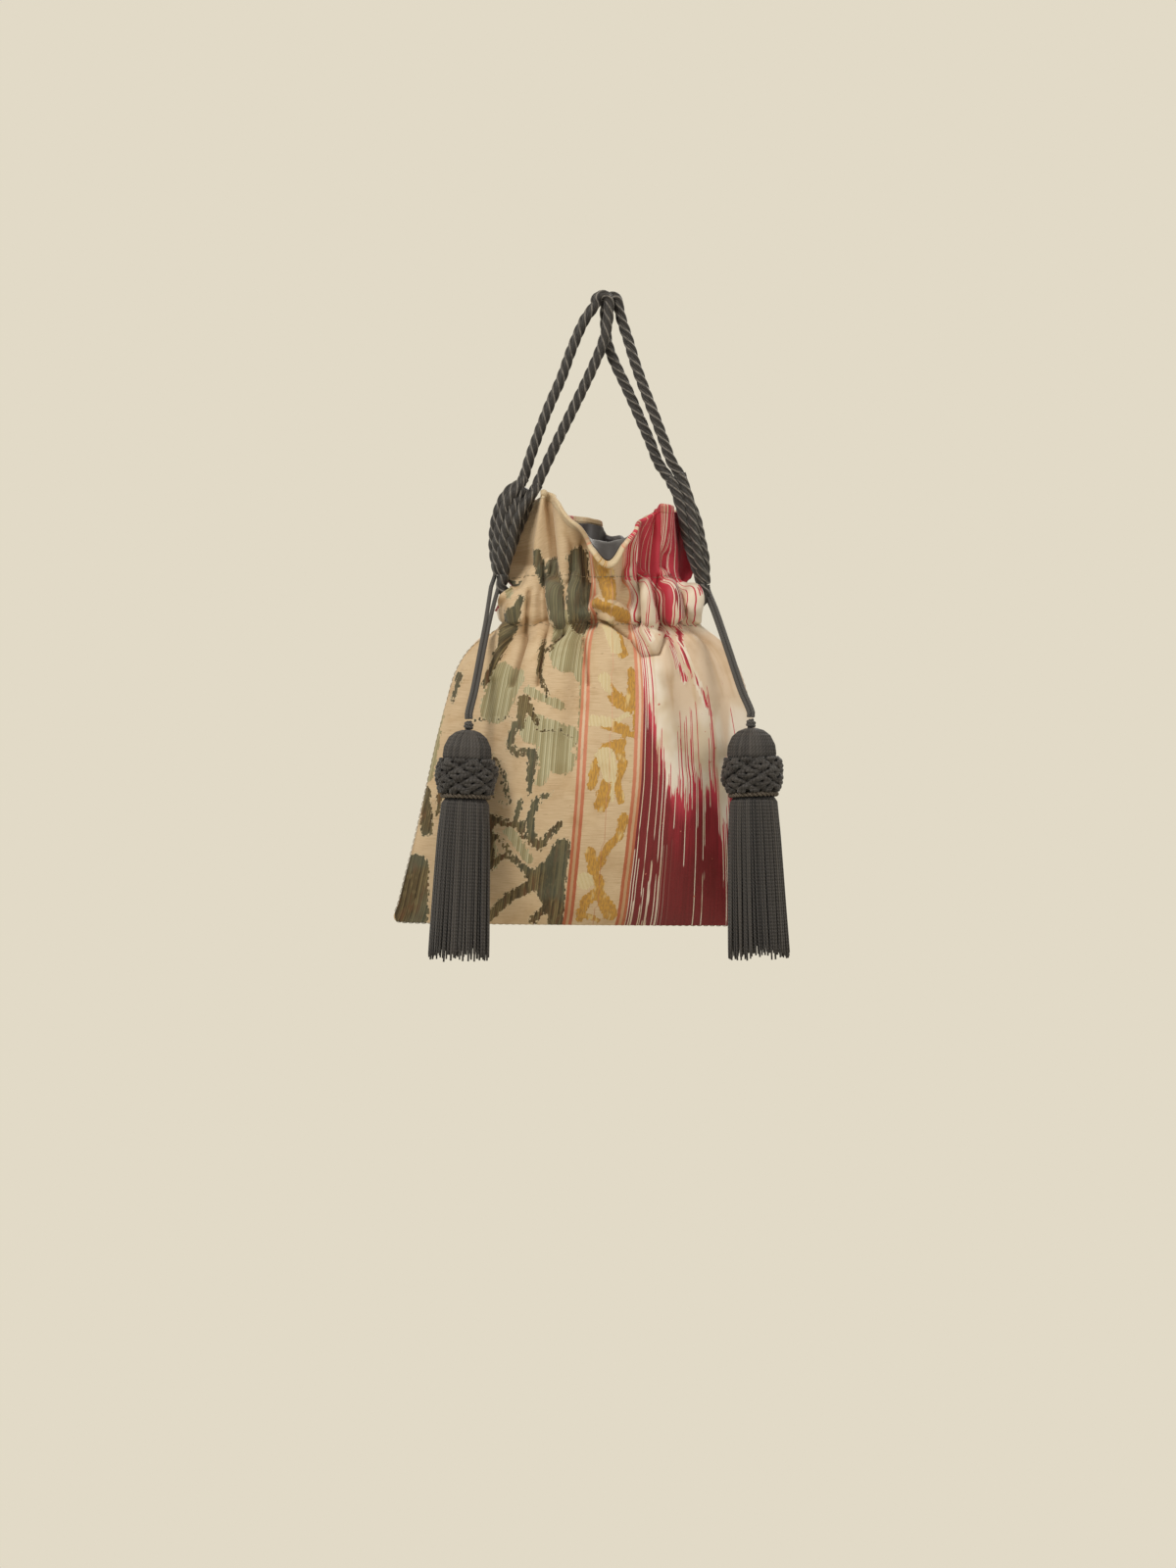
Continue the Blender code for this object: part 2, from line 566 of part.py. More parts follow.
def cord_route(top, bottom, foot):
    """The thin cord, from under the knot down to the tie, bowed forward to clear the cloth."""
    _, down, out = knot_frame(top, bottom, 1.0)
    start = bottom + down * RUN_GAP + out * CORD_OUTSET
    end = foot + Vector((0.0, 0.0, RUN_GAP))
    drop = end - start
    return [
        start,
        start + down * 0.0030,
        start + drop * 0.20 + Vector((0.0, -0.0030, 0.0)),
        start + drop * 0.50 + Vector((0.0, -0.0045, 0.0)),
        start + drop * 0.80 + Vector((0.0, -0.0020, 0.0)),
        end + Vector((0.0, 0.0, 0.0030)),
        end,
    ]


def make_tassel(side_name, side, foot, lean):
    """The tie, the yarn bundle, the collar and the band, all about one axis that leans with the skirt."""
    hanger = bpy.data.objects.new(f"{side_name}_tassel_hanger", None)
    bpy.context.scene.collection.objects.link(hanger)
    hanger.location = foot
    hanger.rotation_euler = (0.0, -side * lean, 0.0)
    tie = [
        (0.0, 0.22 * TIE_WIDTH), (0.18 * TIE_LENGTH, 0.40 * TIE_WIDTH), (0.5 * TIE_LENGTH, 0.5 * TIE_WIDTH),
        (0.82 * TIE_LENGTH, 0.43 * TIE_WIDTH), (TIE_LENGTH, 0.32 * TIE_WIDTH),
    ]
    start = TIE_LENGTH + GAP
    yarn = [(start + down, radius) for down, radius in YARN]
    shares = np.linspace(0.0, 1.0, 7)
    downs = COLLAR_TOP + shares * COLLAR_HEIGHT
    inner = np.interp(downs, *np.array(YARN).T) + YARN_RIB + GAP
    bulge = (COLLAR_RADIUS - inner - COLLAR_EDGE) * np.sin(math.pi * (0.10 + 0.86 * shares)) ** 0.5
    collar = [(start + down, radius) for down, radius in zip(downs, inner)]
    outer = inner + COLLAR_EDGE + bulge
    collar += [(start + down, radius) for down, radius in zip(downs[::-1], outer[::-1])]
    band = []
    for k in range(8):
        angle = 2 * math.pi * k / 8
        down = BAND_MIDDLE - BAND / 2 * math.sin(angle) * 0.8
        band.append((start + down, BAND_RADIUS + YARN_RIB + BAND / 2 * math.cos(angle)))
    pieces = [
        make_turned(f"{side_name}_tassel_tie", tie, 6, 0.0, "rope"),
        make_turned(f"{side_name}_tassel_yarn", yarn, YARN_RIBS, YARN_RIB, "yarn"),
        make_turned(f"{side_name}_tassel_collar", collar, 10, YARN_RIB, "yarn", closed_loop=True),
        make_turned(f"{side_name}_tassel_band", band, 10, 0.0, "yarn", closed_loop=True),
    ]
    for piece in pieces:
        piece.parent = hanger


def make_side(side_name, side, z, top, bottom, outer, inner, bend, foot, lean):
    """One rope with its knot, handle and tassel."""
    make_tube(f"{side_name}_cord_run", run_route(side, z), ROPE, "rope", 2)
    for lane, lane_name in ((-1, "front"), (1, "back")):
        make_tube(f"{side_name}_tail_{lane_name}", tail_route(side, z, lane, top, bottom), ROPE, "rope", 2)
    make_knot(f"{side_name}_knot", top, bottom)
    make_tube(f"{side_name}_handle_loop", handle_route(side, outer, inner, bend, top, bottom), ROPE, "rope", 2)
    make_tube(f"{side_name}_tassel_cord", cord_route(top, bottom, foot), THIN_CORD, "yarn", 2)
    make_tassel(side_name, side, foot, lean)


def main():
    for ob in list(bpy.data.objects):
        bpy.data.objects.remove(ob, do_unlink=True)
    make_panel("front_panel", -1)
    make_panel("back_panel", 1)
    make_lining("front_lining", -1)
    make_lining("back_lining", 1)
    make_side(
        "left", -1, LEFT_ROPE_Z, LEFT_KNOT_TOP, LEFT_KNOT_BOTTOM,
        LEFT_OUTER, LEFT_INNER, LEFT_BEND, LEFT_FOOT, LEFT_LEAN,
    )
    make_side(
        "right", 1, RIGHT_ROPE_Z, RIGHT_KNOT_TOP, RIGHT_KNOT_BOTTOM,
        RIGHT_OUTER, RIGHT_INNER, RIGHT_BEND, RIGHT_FOOT, RIGHT_LEAN,
    )


main()
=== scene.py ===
import math
from functools import reduce

import bpy
import numpy as np
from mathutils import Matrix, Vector


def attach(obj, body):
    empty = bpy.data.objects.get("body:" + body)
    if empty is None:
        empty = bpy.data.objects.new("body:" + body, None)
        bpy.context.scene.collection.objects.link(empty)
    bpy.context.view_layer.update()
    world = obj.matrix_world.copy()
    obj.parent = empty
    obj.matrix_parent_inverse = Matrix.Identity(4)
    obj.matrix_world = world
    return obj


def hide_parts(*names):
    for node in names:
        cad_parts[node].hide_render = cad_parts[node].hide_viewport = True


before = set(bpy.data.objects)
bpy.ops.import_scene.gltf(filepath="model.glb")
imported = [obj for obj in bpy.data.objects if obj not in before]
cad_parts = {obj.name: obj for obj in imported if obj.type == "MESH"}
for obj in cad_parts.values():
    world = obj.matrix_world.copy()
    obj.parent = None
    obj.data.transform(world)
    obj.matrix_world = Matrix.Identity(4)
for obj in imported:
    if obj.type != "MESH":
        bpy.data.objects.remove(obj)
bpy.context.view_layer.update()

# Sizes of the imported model
ROPE = 0.0052
CLOTH = 0.0012
LINING = 0.0006
GAP = 0.0003
RUN_GAP = 0.0009
NECK_CENTRE = -0.003
BOTTOM_Z = -0.3308
BOTTOM_LEFT = -0.1125
BOTTOM_RIGHT = 0.0915
BODY_DEPTH = 0.029
CORNER_LIFT = 0.0035
BOTTOM_SLOPE = 0.0025
CHANNEL_TOP = -0.1475
CHANNEL_HEIGHT = 0.0250
NECK_WIDTH = 0.0910
NECK_DEPTH = 0.0360
NECK_ROUND = 1.5
STITCH_WIDTH = 0.0770
FOOT_WIDTH = 0.1000
PLEAT = 0.0036
FOLD = 0.0028
HEADER = 0.0460
LEFT_ROPE_Z = CHANNEL_TOP - 0.0093
RIGHT_ROPE_Z = LEFT_ROPE_Z - ROPE - 0.0013
TAIL_SPREAD = ROPE / 2 + 0.0006
TAIL_MEET = 0.0095
TAIL_INSET = 0.42 * ROPE
SLIT_SPREAD = 1.72 * ROPE
SLIT_REACH = 1.06 * ROPE
SLIT_RISE = 0.4 * ROPE
LINING_INSET = 0.0150
LINING_PLEAT = 0.0010
KNOT_BOW = 0.0018
STRAND_SPREAD = 0.56 * ROPE
CORD_OUTSET = 0.76 * ROPE
HOOK_BEND = 0.70 * ROPE
HANDLE_SPREAD = 0.58 * ROPE
TIE_LENGTH = 0.0045
TIE_WIDTH = 0.0052
COLLAR_TOP = 0.0152
COLLAR_HEIGHT = 0.0178
BAND_MIDDLE = 0.0353
BAND_RADIUS = 0.0094 + GAP + 0.0014
# Pleats of the neck and folds of the body: place across, and how far out or in
FRONT_PLEATS = (
    (-1, 0), (-0.84, -0.7), (-0.65, 0.9), (-0.45, -1), (-0.31, 1), (-0.24, 0.35), (-0.17, 0.8), (-0.08, -1),
    (0.06, 1), (0.21, -1), (0.32, 0.9), (0.43, -0.9), (0.55, 0.8), (0.67, -0.8), (0.82, 1), (0.93, -0.5),
    (1, 0),
)
BACK_PLEATS = (
    (-1, 0), (-0.88, -0.6), (-0.74, 0.9), (-0.6, -0.9), (-0.46, 1), (-0.31, -1), (-0.18, 0.8), (-0.05, -0.9),
    (0.08, 1), (0.22, -0.8), (0.36, 0.9), (0.5, -1), (0.64, 0.9), (0.78, -0.8), (0.9, 0.3), (1, 0),
)
FRONT_FOLDS = (
    (-1, 0), (-0.78, 0.6), (-0.52, -1), (-0.27, 1), (0, -0.4), (0.3, 0.7), (0.55, -0.9), (0.8, 0.5), (1, 0),
)
BACK_FOLDS = (
    (-1, 0), (-0.7, 0.8), (-0.4, -0.9), (-0.1, 0.8), (0.2, -1), (0.5, 0.9), (0.78, -0.5), (1, 0),
)
# Levels of the body: share of the way down, to the left and the right bottom corner, depth, roundness, and how
# much of the pleats and of the folds
LEVELS = (
    (1, 1, 1, 0, 2, 0, 0), (0.95, 0.955, 0.985, 0.24, 2, 0, 0.05), (0.86, 0.9, 0.96, 0.5, 2, 0, 0.2),
    (0.72, 0.81, 0.91, 0.8, 2, 0.02, 0.5), (0.55, 0.71, 0.84, 0.98, 1.9, 0.06, 0.8),
    (0.38, 0.61, 0.74, 1.02, 1.8, 0.12, 1), (0.25, 0.52, 0.645, 1, 1.7, 0.24, 1),
    (0.15, 0.44, 0.53, 0.96, 1.6, 0.42, 0.85), (0.07, 0.3, 0.36, 0.86, 1.5, 0.72, 0.45),
)
# Levels of the channel: width, depth, outset, height of the pleats, z, droop of the ridges
CHANNEL_LEVELS = (
    (FOOT_WIDTH, 0.0205, 0.0022, 0.95, CHANNEL_TOP - CHANNEL_HEIGHT, 0.0),
    (NECK_WIDTH, NECK_DEPTH / 2, 0.0074, 1.05, CHANNEL_TOP - 0.81 * CHANNEL_HEIGHT, 0.0030),
    (NECK_WIDTH, NECK_DEPTH / 2, 0.0078, 1.0, RIGHT_ROPE_Z, 0.0012),
    (NECK_WIDTH, NECK_DEPTH / 2, 0.0076, 0.95, LEFT_ROPE_Z, 0.0),
    (STITCH_WIDTH, NECK_DEPTH / 2, 0.0030, 0.7, CHANNEL_TOP, 0.0),
)
# The rim: place across, and the point there
FRONT_RIM = (
    (-1, -0.0315, 0, -0.105), (-0.84, -0.033, -0.009, -0.103), (-0.65, -0.0325, -0.0165, -0.1015),
    (-0.45, -0.0275, -0.0135, -0.1035), (-0.31, -0.0225, -0.0225, -0.108), (-0.2, -0.0175, -0.033, -0.12),
    (-0.08, -0.0105, -0.042, -0.133), (0.06, 0.0008, -0.048, -0.1405), (0.14, 0.0065, -0.045, -0.137),
    (0.24, 0.014, -0.037, -0.127), (0.34, 0.0215, -0.027, -0.1175), (0.44, 0.0265, -0.02, -0.1125),
    (0.56, 0.03, -0.025, -0.109), (0.69, 0.0335, -0.019, -0.11), (0.84, 0.0335, -0.01, -0.1125),
    (1, 0.031, 0, -0.112),
)
BACK_RIM = (
    (-1, -0.0315, 0, -0.105), (-0.85, -0.0325, 0.011, -0.104), (-0.6, -0.0295, 0.0215, -0.109),
    (-0.4, -0.024, 0.015, -0.112), (-0.15, -0.016, 0.025, -0.1125), (0.06, -0.005, 0.0215, -0.1145),
    (0.22, 0.002, 0.028, -0.1215), (0.36, 0.0085, 0.033, -0.13), (0.48, 0.014, 0.029, -0.126),
    (0.62, 0.0205, 0.019, -0.114), (0.78, 0.028, 0.023, -0.1085), (0.9, 0.033, 0.011, -0.1095),
    (1, 0.031, 0, -0.112),
)
# The handles' strands, from the hook down to the knot
LEFT_OUTER = (
    (-0.0114, -0.0032, -0.0109), (-0.0182, -0.0034, -0.0265), (-0.0234, -0.0034, -0.0411),
    (-0.0302, -0.0034, -0.0567), (-0.0354, -0.0032, -0.0702), (-0.0404, -0.0028, -0.0842),
)
LEFT_INNER = (
    (0.001, -0.0034, -0.012), (-0.0016, -0.0034, -0.0229), (-0.0062, -0.003, -0.0343),
    (-0.0125, -0.0024, -0.0478), (-0.018, -0.0018, -0.059), (-0.024, -0.0014, -0.0712),
    (-0.0306, -0.001, -0.085),
)
RIGHT_OUTER = (
    (0.0084, 0.003, -0.0095), (0.0119, 0.0026, -0.0203), (0.0156, 0.0018, -0.0328), (0.0203, 0.0008, -0.0463),
    (0.0256, -0.0004, -0.0603), (0.0304, -0.0014, -0.0735), (0.0346, -0.0022, -0.085),
)
RIGHT_INNER = (
    (-0.0002, 0.0034, -0.012), (0.0012, 0.0038, -0.0229), (0.005, 0.0044, -0.0328), (0.0094, 0.005, -0.042),
    (0.014, 0.0052, -0.052), (0.0187, 0.0048, -0.063), (0.0236, 0.004, -0.0745), (0.0281, 0.0028, -0.086),
)
# A tassel's yarn: distance down from the tie, and radius
YARN = (
    (0, 0.003), (0.0012, 0.0062), (0.004, 0.0096), (0.009, 0.012), (0.014, 0.0125), (0.0165, 0.0112),
    (0.032, 0.01), (0.0345, 0.0094), (0.0362, 0.0094), (0.0385, 0.0118), (0.055, 0.0129), (0.075, 0.0137),
    (0.095, 0.0144), (0.108, 0.0149), (0.118, 0.0153),
)
# Rows of the cloth: one for each level
FOOT_ROW = len(LEVELS)
TOP_ROW = FOOT_ROW + 4
RIM_ROW = TOP_ROW + 2
HEM_ROW = RIM_ROW - 0.28


# ---------------------------------------------------------------- camera, stage and light
def srgb(*values):
    """A colour of the shaders from its 8-bit values."""
    return (*(v / 255 / 12.92 if v <= 10 else ((v / 255 + 0.055) / 1.055) ** 2.4 for v in values), 1.0)


BACKGROUND = srgb(226, 218, 199)
WORLD_COLOUR, WORLD_STRENGTH = (1.0, 0.975, 0.94, 1.0), 0.44
FLOOR_CORNERS, FLOOR_REACH, FLOOR_HEIGHT = 48, 2.3, -1.25
MIDDLE = Vector((-0.01, 0.0, -0.22))  # of the pouch, where the lamps point
# Name, place, width, watts and colour of each lamp
LAMPS = (
    ("key", (-0.70, -1.20, 0.95), 0.50, 16.5, (1.0, 0.985, 0.96)),
    ("fill", (1.2, -1.1, 0.25), 0.8, 5.0, (1.0, 0.98, 0.95)),
    ("rim", (0.5, 1.3, 0.7), 0.8, 6.0, (1.0, 0.98, 0.95)),
)


def add_object(name, data, place=(0.0, 0.0, 0.0), turn=(0.0, 0.0, 0.0)):
    ob = bpy.data.objects.new(name, data)
    bpy.context.scene.collection.objects.link(ob)
    ob.location, ob.rotation_euler = place, turn
    return ob


def make_camera():
    data = bpy.data.cameras.new("camera")
    data.lens, data.sensor_width = 85, 36
    place = (-0.0094, -1.9645, -0.2564)
    bpy.context.scene.camera = add_object("camera", data, place, (math.radians(90), 0, 0))


def make_floor():
    mesh = bpy.data.meshes.new("floor")
    angles = [2 * math.pi * k / FLOOR_CORNERS for k in range(FLOOR_CORNERS)]
    rim = [(FLOOR_REACH * math.cos(a), FLOOR_REACH * math.sin(a), FLOOR_HEIGHT) for a in angles]
    mesh.from_pydata(rim, [], [tuple(range(FLOOR_CORNERS))])
    pale = bpy.data.materials.new("floor")
    pale.use_nodes = True
    surface = pale.node_tree.nodes["Principled BSDF"]
    surface.inputs["Base Color"].default_value = BACKGROUND
    surface.inputs["Roughness"].default_value = 0.9
    mesh.materials.append(pale)
    add_object("floor", mesh)


def make_world():
    """A world that lights softly, and that the camera, gloss and glass see in the background's colour."""
    world = bpy.data.worlds.new("studio")
    bpy.context.scene.world = world
    world.use_nodes = True
    nodes, link = world.node_tree.nodes, world.node_tree.links.new
    nodes.clear()
    rays = nodes.new("ShaderNodeLightPath")
    seen = rays.outputs["Is Camera Ray"]
    for kind in ("Is Glossy Ray", "Is Transmission Ray"):
        either = nodes.new("ShaderNodeMath")
        either.operation = "MAXIMUM"
        link(seen, either.inputs[0])
        link(rays.outputs[kind], either.inputs[1])
        seen = either.outputs[0]
    both = nodes.new("ShaderNodeMixShader")
    link(seen, both.inputs[0])
    for socket, colour, strength in ((1, WORLD_COLOUR, WORLD_STRENGTH), (2, BACKGROUND, 1.0)):
        light = nodes.new("ShaderNodeBackground")
        light.inputs["Color"].default_value = colour
        light.inputs["Strength"].default_value = strength
        link(light.outputs[0], both.inputs[socket])
    link(both.outputs[0], nodes.new("ShaderNodeOutputWorld").inputs[0])
    bpy.context.scene.view_settings.view_transform = "Standard"


def make_lamps():
    for name, place, size, power, colour in LAMPS:
        data = bpy.data.lights.new(name, "AREA")
        data.shape, data.size, data.energy, data.color = "DISK", size, power, colour
        turn = (MIDDLE - Vector(place)).to_track_quat("-Z", "Y").to_euler()
        add_object(name, data, place, turn)


make_camera()
make_floor()
make_world()
make_lamps()


# ---------------------------------------------------------------- shaders
class Shader:
    """A material, with short ways to its nodes. A value is a number, a colour's 8-bit values or an output."""

    def __init__(self, name, roughness=0.7, sheen=0.0, specular=0.4):
        self.material = bpy.data.materials.new(name)
        self.material.use_nodes = True
        self.tree = self.material.node_tree
        self.surface = self.tree.nodes["Principled BSDF"]
        for key, value in (("Roughness", roughness), ("Sheen Weight", sheen), ("Sheen Roughness", 0.45),
                           ("Specular IOR Level", specular)):
            self.surface.inputs[key].default_value = value

    def put(self, socket, value):
        if isinstance(value, bpy.types.NodeSocket):
            self.tree.links.new(value, socket)
        elif value is not None:
            socket.default_value = srgb(*value) if isinstance(value, tuple) else value

    def node(self, kind, *values, output=0, **settings):
        """An output of a new node whose first sockets take the values."""
        node = self.tree.nodes.new("ShaderNode" + kind)
        for key, value in settings.items():
            setattr(node, key, value)
        for socket, value in zip(node.inputs, values):
            self.put(socket, value)
        return node.outputs[output]

    def math(self, operation, *values):
        return self.node("Math", *values, operation=operation)

    def add(self, *values):
        return reduce(lambda a, b: self.math("ADD", a, b), values)

    def times(self, *values):
        return reduce(lambda a, b: self.math("MULTIPLY", a, b), values)

    def swing(self, value, reach):
        """Brings a value from 0 to 1 to half the reach on both sides of 0."""
        return self.math("MULTIPLY_ADD", value, reach, -reach / 2)

    def step(self, value, low, high, end=1.0):
        """From 0 to end, smoothly, as value goes from low to high."""
        return self.node("MapRange", value, low, high, 0.0, end, interpolation_type="SMOOTHSTEP")

    def mix(self, share, a, b, blend="MIX"):
        none = [None] * 5  # the node's sockets for plain numbers and vectors
        return self.node("Mix", share, *none, a, b, output=2, data_type="RGBA", blend_type=blend)

    def shade(self, colour, share, dark):
        """colour darkened by share towards the multiple dark of itself."""
        return self.mix(share, colour, dark, "MULTIPLY")

    def split(self, name):
        """The three numbers of an attribute of the mesh."""
        vector = self.node("Attribute", output=1, attribute_name=name)
        return [self.node("SeparateXYZ", vector, output=i) for i in range(3)]

    def noise(self, x, y, z=0.0, detail=2.0, rough=0.5):
        return self.node("TexNoise", self.node("CombineXYZ", x, y, z), None, 1.0, detail, rough)

    def random(self, x, y):
        """A number from 0 to 1 for each pair of whole numbers."""
        return self.node("TexWhiteNoise", self.node("CombineXYZ", x, y), noise_dimensions="2D")

    def wave(self, value, pitch):
        """0 to 1 and back over each pitch."""
        turn = self.times(value, 2 * math.pi / pitch)
        return self.math("MULTIPLY_ADD", self.math("SINE", turn), 0.5, 0.5)

    def finish(self, colour, height, strength, distance, roughness=None):
        self.put(self.surface.inputs["Base Color"], colour)
        self.put(self.surface.inputs["Roughness"], roughness)
        bump = self.node("Bump", strength, distance)
        self.put(bump.node.inputs["Height"], height)
        self.put(self.surface.inputs["Normal"], bump)
        return self.material


RIB = 1.25  # mm between the ribs of the cut velvet
WEFT, WARP = 0.42, 0.40  # mm between the threads of the ground
THREAD = 0.50  # mm between the crimson threads
BLOCK = 1.7  # mm over which a figure's edge keeps its place on a rib


def brocade_material():
    """Striped cloth: a beige ground with cut velvet foliage, gold flowers, orange lines and clouded crimson."""
    s = Shader("brocade", sheen=0.12, specular=0.35)
    across, up, rim = s.split("cloth")
    green, mint, gold = s.split("leaves")
    cream, line, red = s.split("stripes")
    crease, crest, _ = s.split("folds")

    def patches(wide, tall, seed=0.0, detail=2.0, rough=0.5):
        return s.noise(s.times(across, wide), s.times(up, tall), seed, detail, rough)

    # weave, and the edges of the figures, which jump from rib to rib
    rib = s.math("FLOOR", s.times(across, 1 / RIB))
    ridge, weft, warp = s.wave(across, RIB), s.wave(up, WEFT), s.wave(across, WARP)
    jump = s.swing(s.random(rib, s.math("FLOOR", s.times(up, 1 / BLOCK))), 1.5)
    ragged = s.add(jump, s.swing(patches(0.9, 0.9, 0.0, 3.0), 1.6))
    slub = patches(0.10, 2.6, 0.0, 3.0, 0.6)
    cloud = patches(0.045, 0.045)

    # ground
    ground = s.mix(s.step(slub, 0.36, 0.68), (227, 199, 159), (208, 178, 136))
    ground = s.mix(s.step(cloud, 0.40, 0.66, 0.45), ground, (230, 202, 160))
    ground = s.shade(ground, s.times(weft, 0.16), (160, 146, 128))
    worn = s.step(patches(0.30, 0.84, 4.2, 4.0), 0.64, 0.72, 0.35)
    ground = s.mix(worn, ground, (160, 126, 84))

    # green and mint pile, gold and cream silk
    tone = s.random(rib, 3.0)
    pile = s.mix(s.step(tone, 0.15, 0.85), (84, 70, 44), (140, 122, 82))
    pile = s.mix(s.step(patches(0.7, 0.22, 21.0), 0.50, 0.68, 0.6), pile, (150, 132, 90))
    pile = s.mix(s.step(ridge, 0.2, 0.9, 0.5), pile, (66, 56, 38))
    pile = s.mix(s.step(patches(0.4, 0.08), 0.5, 0.7), pile, (112, 82, 52))
    pile = s.mix(s.step(patches(0.035, 0.035, 0.455, 1.0), 0.46, 0.60, 0.45), pile, (98, 106, 88))
    pale = s.mix(s.step(tone, 0.2, 0.9), (170, 156, 114), (206, 196, 156))
    pale = s.mix(s.step(ridge, 0.45, 0.95, 0.6), pale, (136, 130, 94))
    gilt = s.mix(s.step(patches(1.4, 0.35, 0.0, 3.0), 0.38, 0.64), (206, 152, 60), (172, 124, 60))
    gilt = s.mix(s.step(warp, 0.5, 1.0, 0.35), gilt, (230, 196, 120))
    gilt = s.mix(s.step(patches(0.30, 0.10, 3.0), 0.56, 0.70, 0.7), gilt, (232, 206, 146))
    cords = s.mix(s.step(s.wave(across, 0.70), 0.3, 0.8), (234, 218, 178), (206, 178, 118))

    ragged_green, finer = s.add(green, ragged), s.times(ragged, 0.7)
    in_mint = s.step(s.add(mint, ragged), -0.15, 0.15)
    in_green = s.step(ragged_green, -0.12, 0.12)
    in_gold = s.step(s.add(gold, finer), -0.12, 0.12)
    in_cream = s.step(s.add(cream, finer), -0.12, 0.12)
    edge = s.times(s.step(ragged_green, -0.75, -0.15, 0.35), s.math("SUBTRACT", 1.0, in_green))
    colour = s.mix(in_mint, ground, pale)
    for share, over in ((edge, (220, 206, 168)), (in_green, pile), (in_gold, gilt), (in_cream, cords)):
        colour = s.mix(share, colour, over)

    # orange double lines, paler towards the top
    off = s.math("ABSOLUTE", s.add(line, s.swing(patches(0.2, 0.5), 0.5)))
    towards_top = s.step(up, 30.0, 130.0)
    flame = s.mix(patches(0.8, 0.25), (174, 88, 56), (190, 114, 76))
    flame = s.mix(towards_top, flame, (222, 146, 112))
    heart = s.mix(towards_top, (196, 154, 112), (234, 204, 170))
    colour = s.mix(s.step(off, 2.75, 2.35), colour, s.mix(s.step(off, 0.95, 0.6), flame, heart))

    # crimson and cream, whose border runs far up or down single threads
    fine = s.math("FLOOR", s.times(across, 1 / THREAD))
    thread = s.random(fine, 11.0)
    coarse = s.random(s.math("FLOOR", s.times(across, 1 / 2.3)), 5.0)
    broken = s.noise(s.times(fine, 3.1), s.times(up, 0.05), 17.0, 1.0)
    slow = s.noise(s.times(across, 0.35), 2.0, 0.0, 1.0)
    border = s.add(s.step(thread, 0.76, 1.02, -52.0), s.step(thread, 0.24, -0.02, 50.0), s.swing(thread, 6.0),
                   s.swing(coarse, 9.0), s.swing(broken, 26.0), s.swing(slow, 14.0))
    in_red = s.step(s.add(red, border), -1.4, 1.4)
    satin = s.mix(s.step(patches(0.9, 0.03, 0.0, 3.0), 0.35, 0.68), (152, 38, 46), (118, 26, 30))
    # painted shade and light: the crimson is darker deep under the clouds, lower on the body, and brighter near
    # its border and near the rim
    satin = s.mix(s.step(red, 14.0, 46.0, 0.75), satin, (116, 36, 34))
    satin = s.mix(s.step(red, 14.0, -2.0, 0.8), satin, (214, 66, 82))
    satin = s.mix(s.step(rim, 52.0, 40.0, 0.75), satin, (216, 62, 80))
    white = s.mix(s.step(cloud, 0.42, 0.66), (244, 230, 208), (228, 208, 176))
    # painted sheen: the cream is whitest just above the crimson, and higher up it turns beige
    white = s.mix(s.step(red, -30.0, -56.0), white, (230, 204, 172))
    white = s.mix(s.step(patches(0.16, 0.018, 9.0), 0.54, 0.70, 0.55), white, (214, 182, 140))
    white = s.shade(white, s.step(warp, 0.3, 1.0, 0.14), (180, 166, 142))
    low = s.step(s.add(up, s.times(s.random(fine, 29.0), -52.0)), 0.0, -1.5)
    rooted = s.times(s.step(s.random(fine, 23.0), 0.74, 0.78), low, s.step(across, 56.0, 40.0, -0.8))
    ikat = s.mix(s.times(in_red, s.add(1.0, rooted)), white, satin)
    in_right = s.step(s.add(across, -31.4), -0.25, 0.25)
    colour = s.mix(in_right, colour, ikat)

    # hem, spots, and shade in the creases
    hem = s.times(s.step(rim, 5.0, 4.4), s.step(in_red, 0.9, 0.2, 0.7))
    colour = s.mix(hem, colour, (218, 198, 160))
    spots = s.times(s.step(patches(0.30, 0.30, 9.3), 0.735, 0.76), in_right)
    colour = s.mix(spots, colour, (200, 120, 96))
    colour = s.shade(colour, s.step(patches(0.08, 0.08, 0.4, 3.0), 0.45, 0.8, 0.5), (220, 204, 180))
    sunk = s.step(s.add(crease, s.times(crest, -0.4)), 0.4, 3.0, 0.75)
    colour = s.shade(colour, sunk, (168, 148, 122))
    raised = s.add(in_green, s.times(in_mint, 0.6), s.times(in_gold, 0.7))
    height = s.add(s.times(raised, 0.8), s.times(raised, ridge, 0.7), s.times(weft, 0.22), s.times(warp, 0.14),
                   s.times(slub, 0.5), s.step(rim, 4.8, 4.3, 1.4))
    rough = s.add(0.62, s.times(raised, 0.2), s.times(in_right, -0.16))
    return s.finish(colour, height, 0.55, 0.00035, rough)


def lining_material():
    s = Shader("lining", roughness=0.5, sheen=0.1, specular=0.45)
    across, up, _ = s.split("cloth")
    cloud = s.noise(s.times(across, 0.12), s.times(up, 0.12), 0.0, 3.0)
    slub = s.noise(s.times(across, 0.8), s.times(up, 0.8))
    weave = s.add(s.wave(across, 0.36), s.wave(up, 0.36), s.times(slub, 1.5))
    return s.finish(s.mix(cloud, (52, 48, 46), (72, 68, 66)), weave, 0.25, 0.0001)


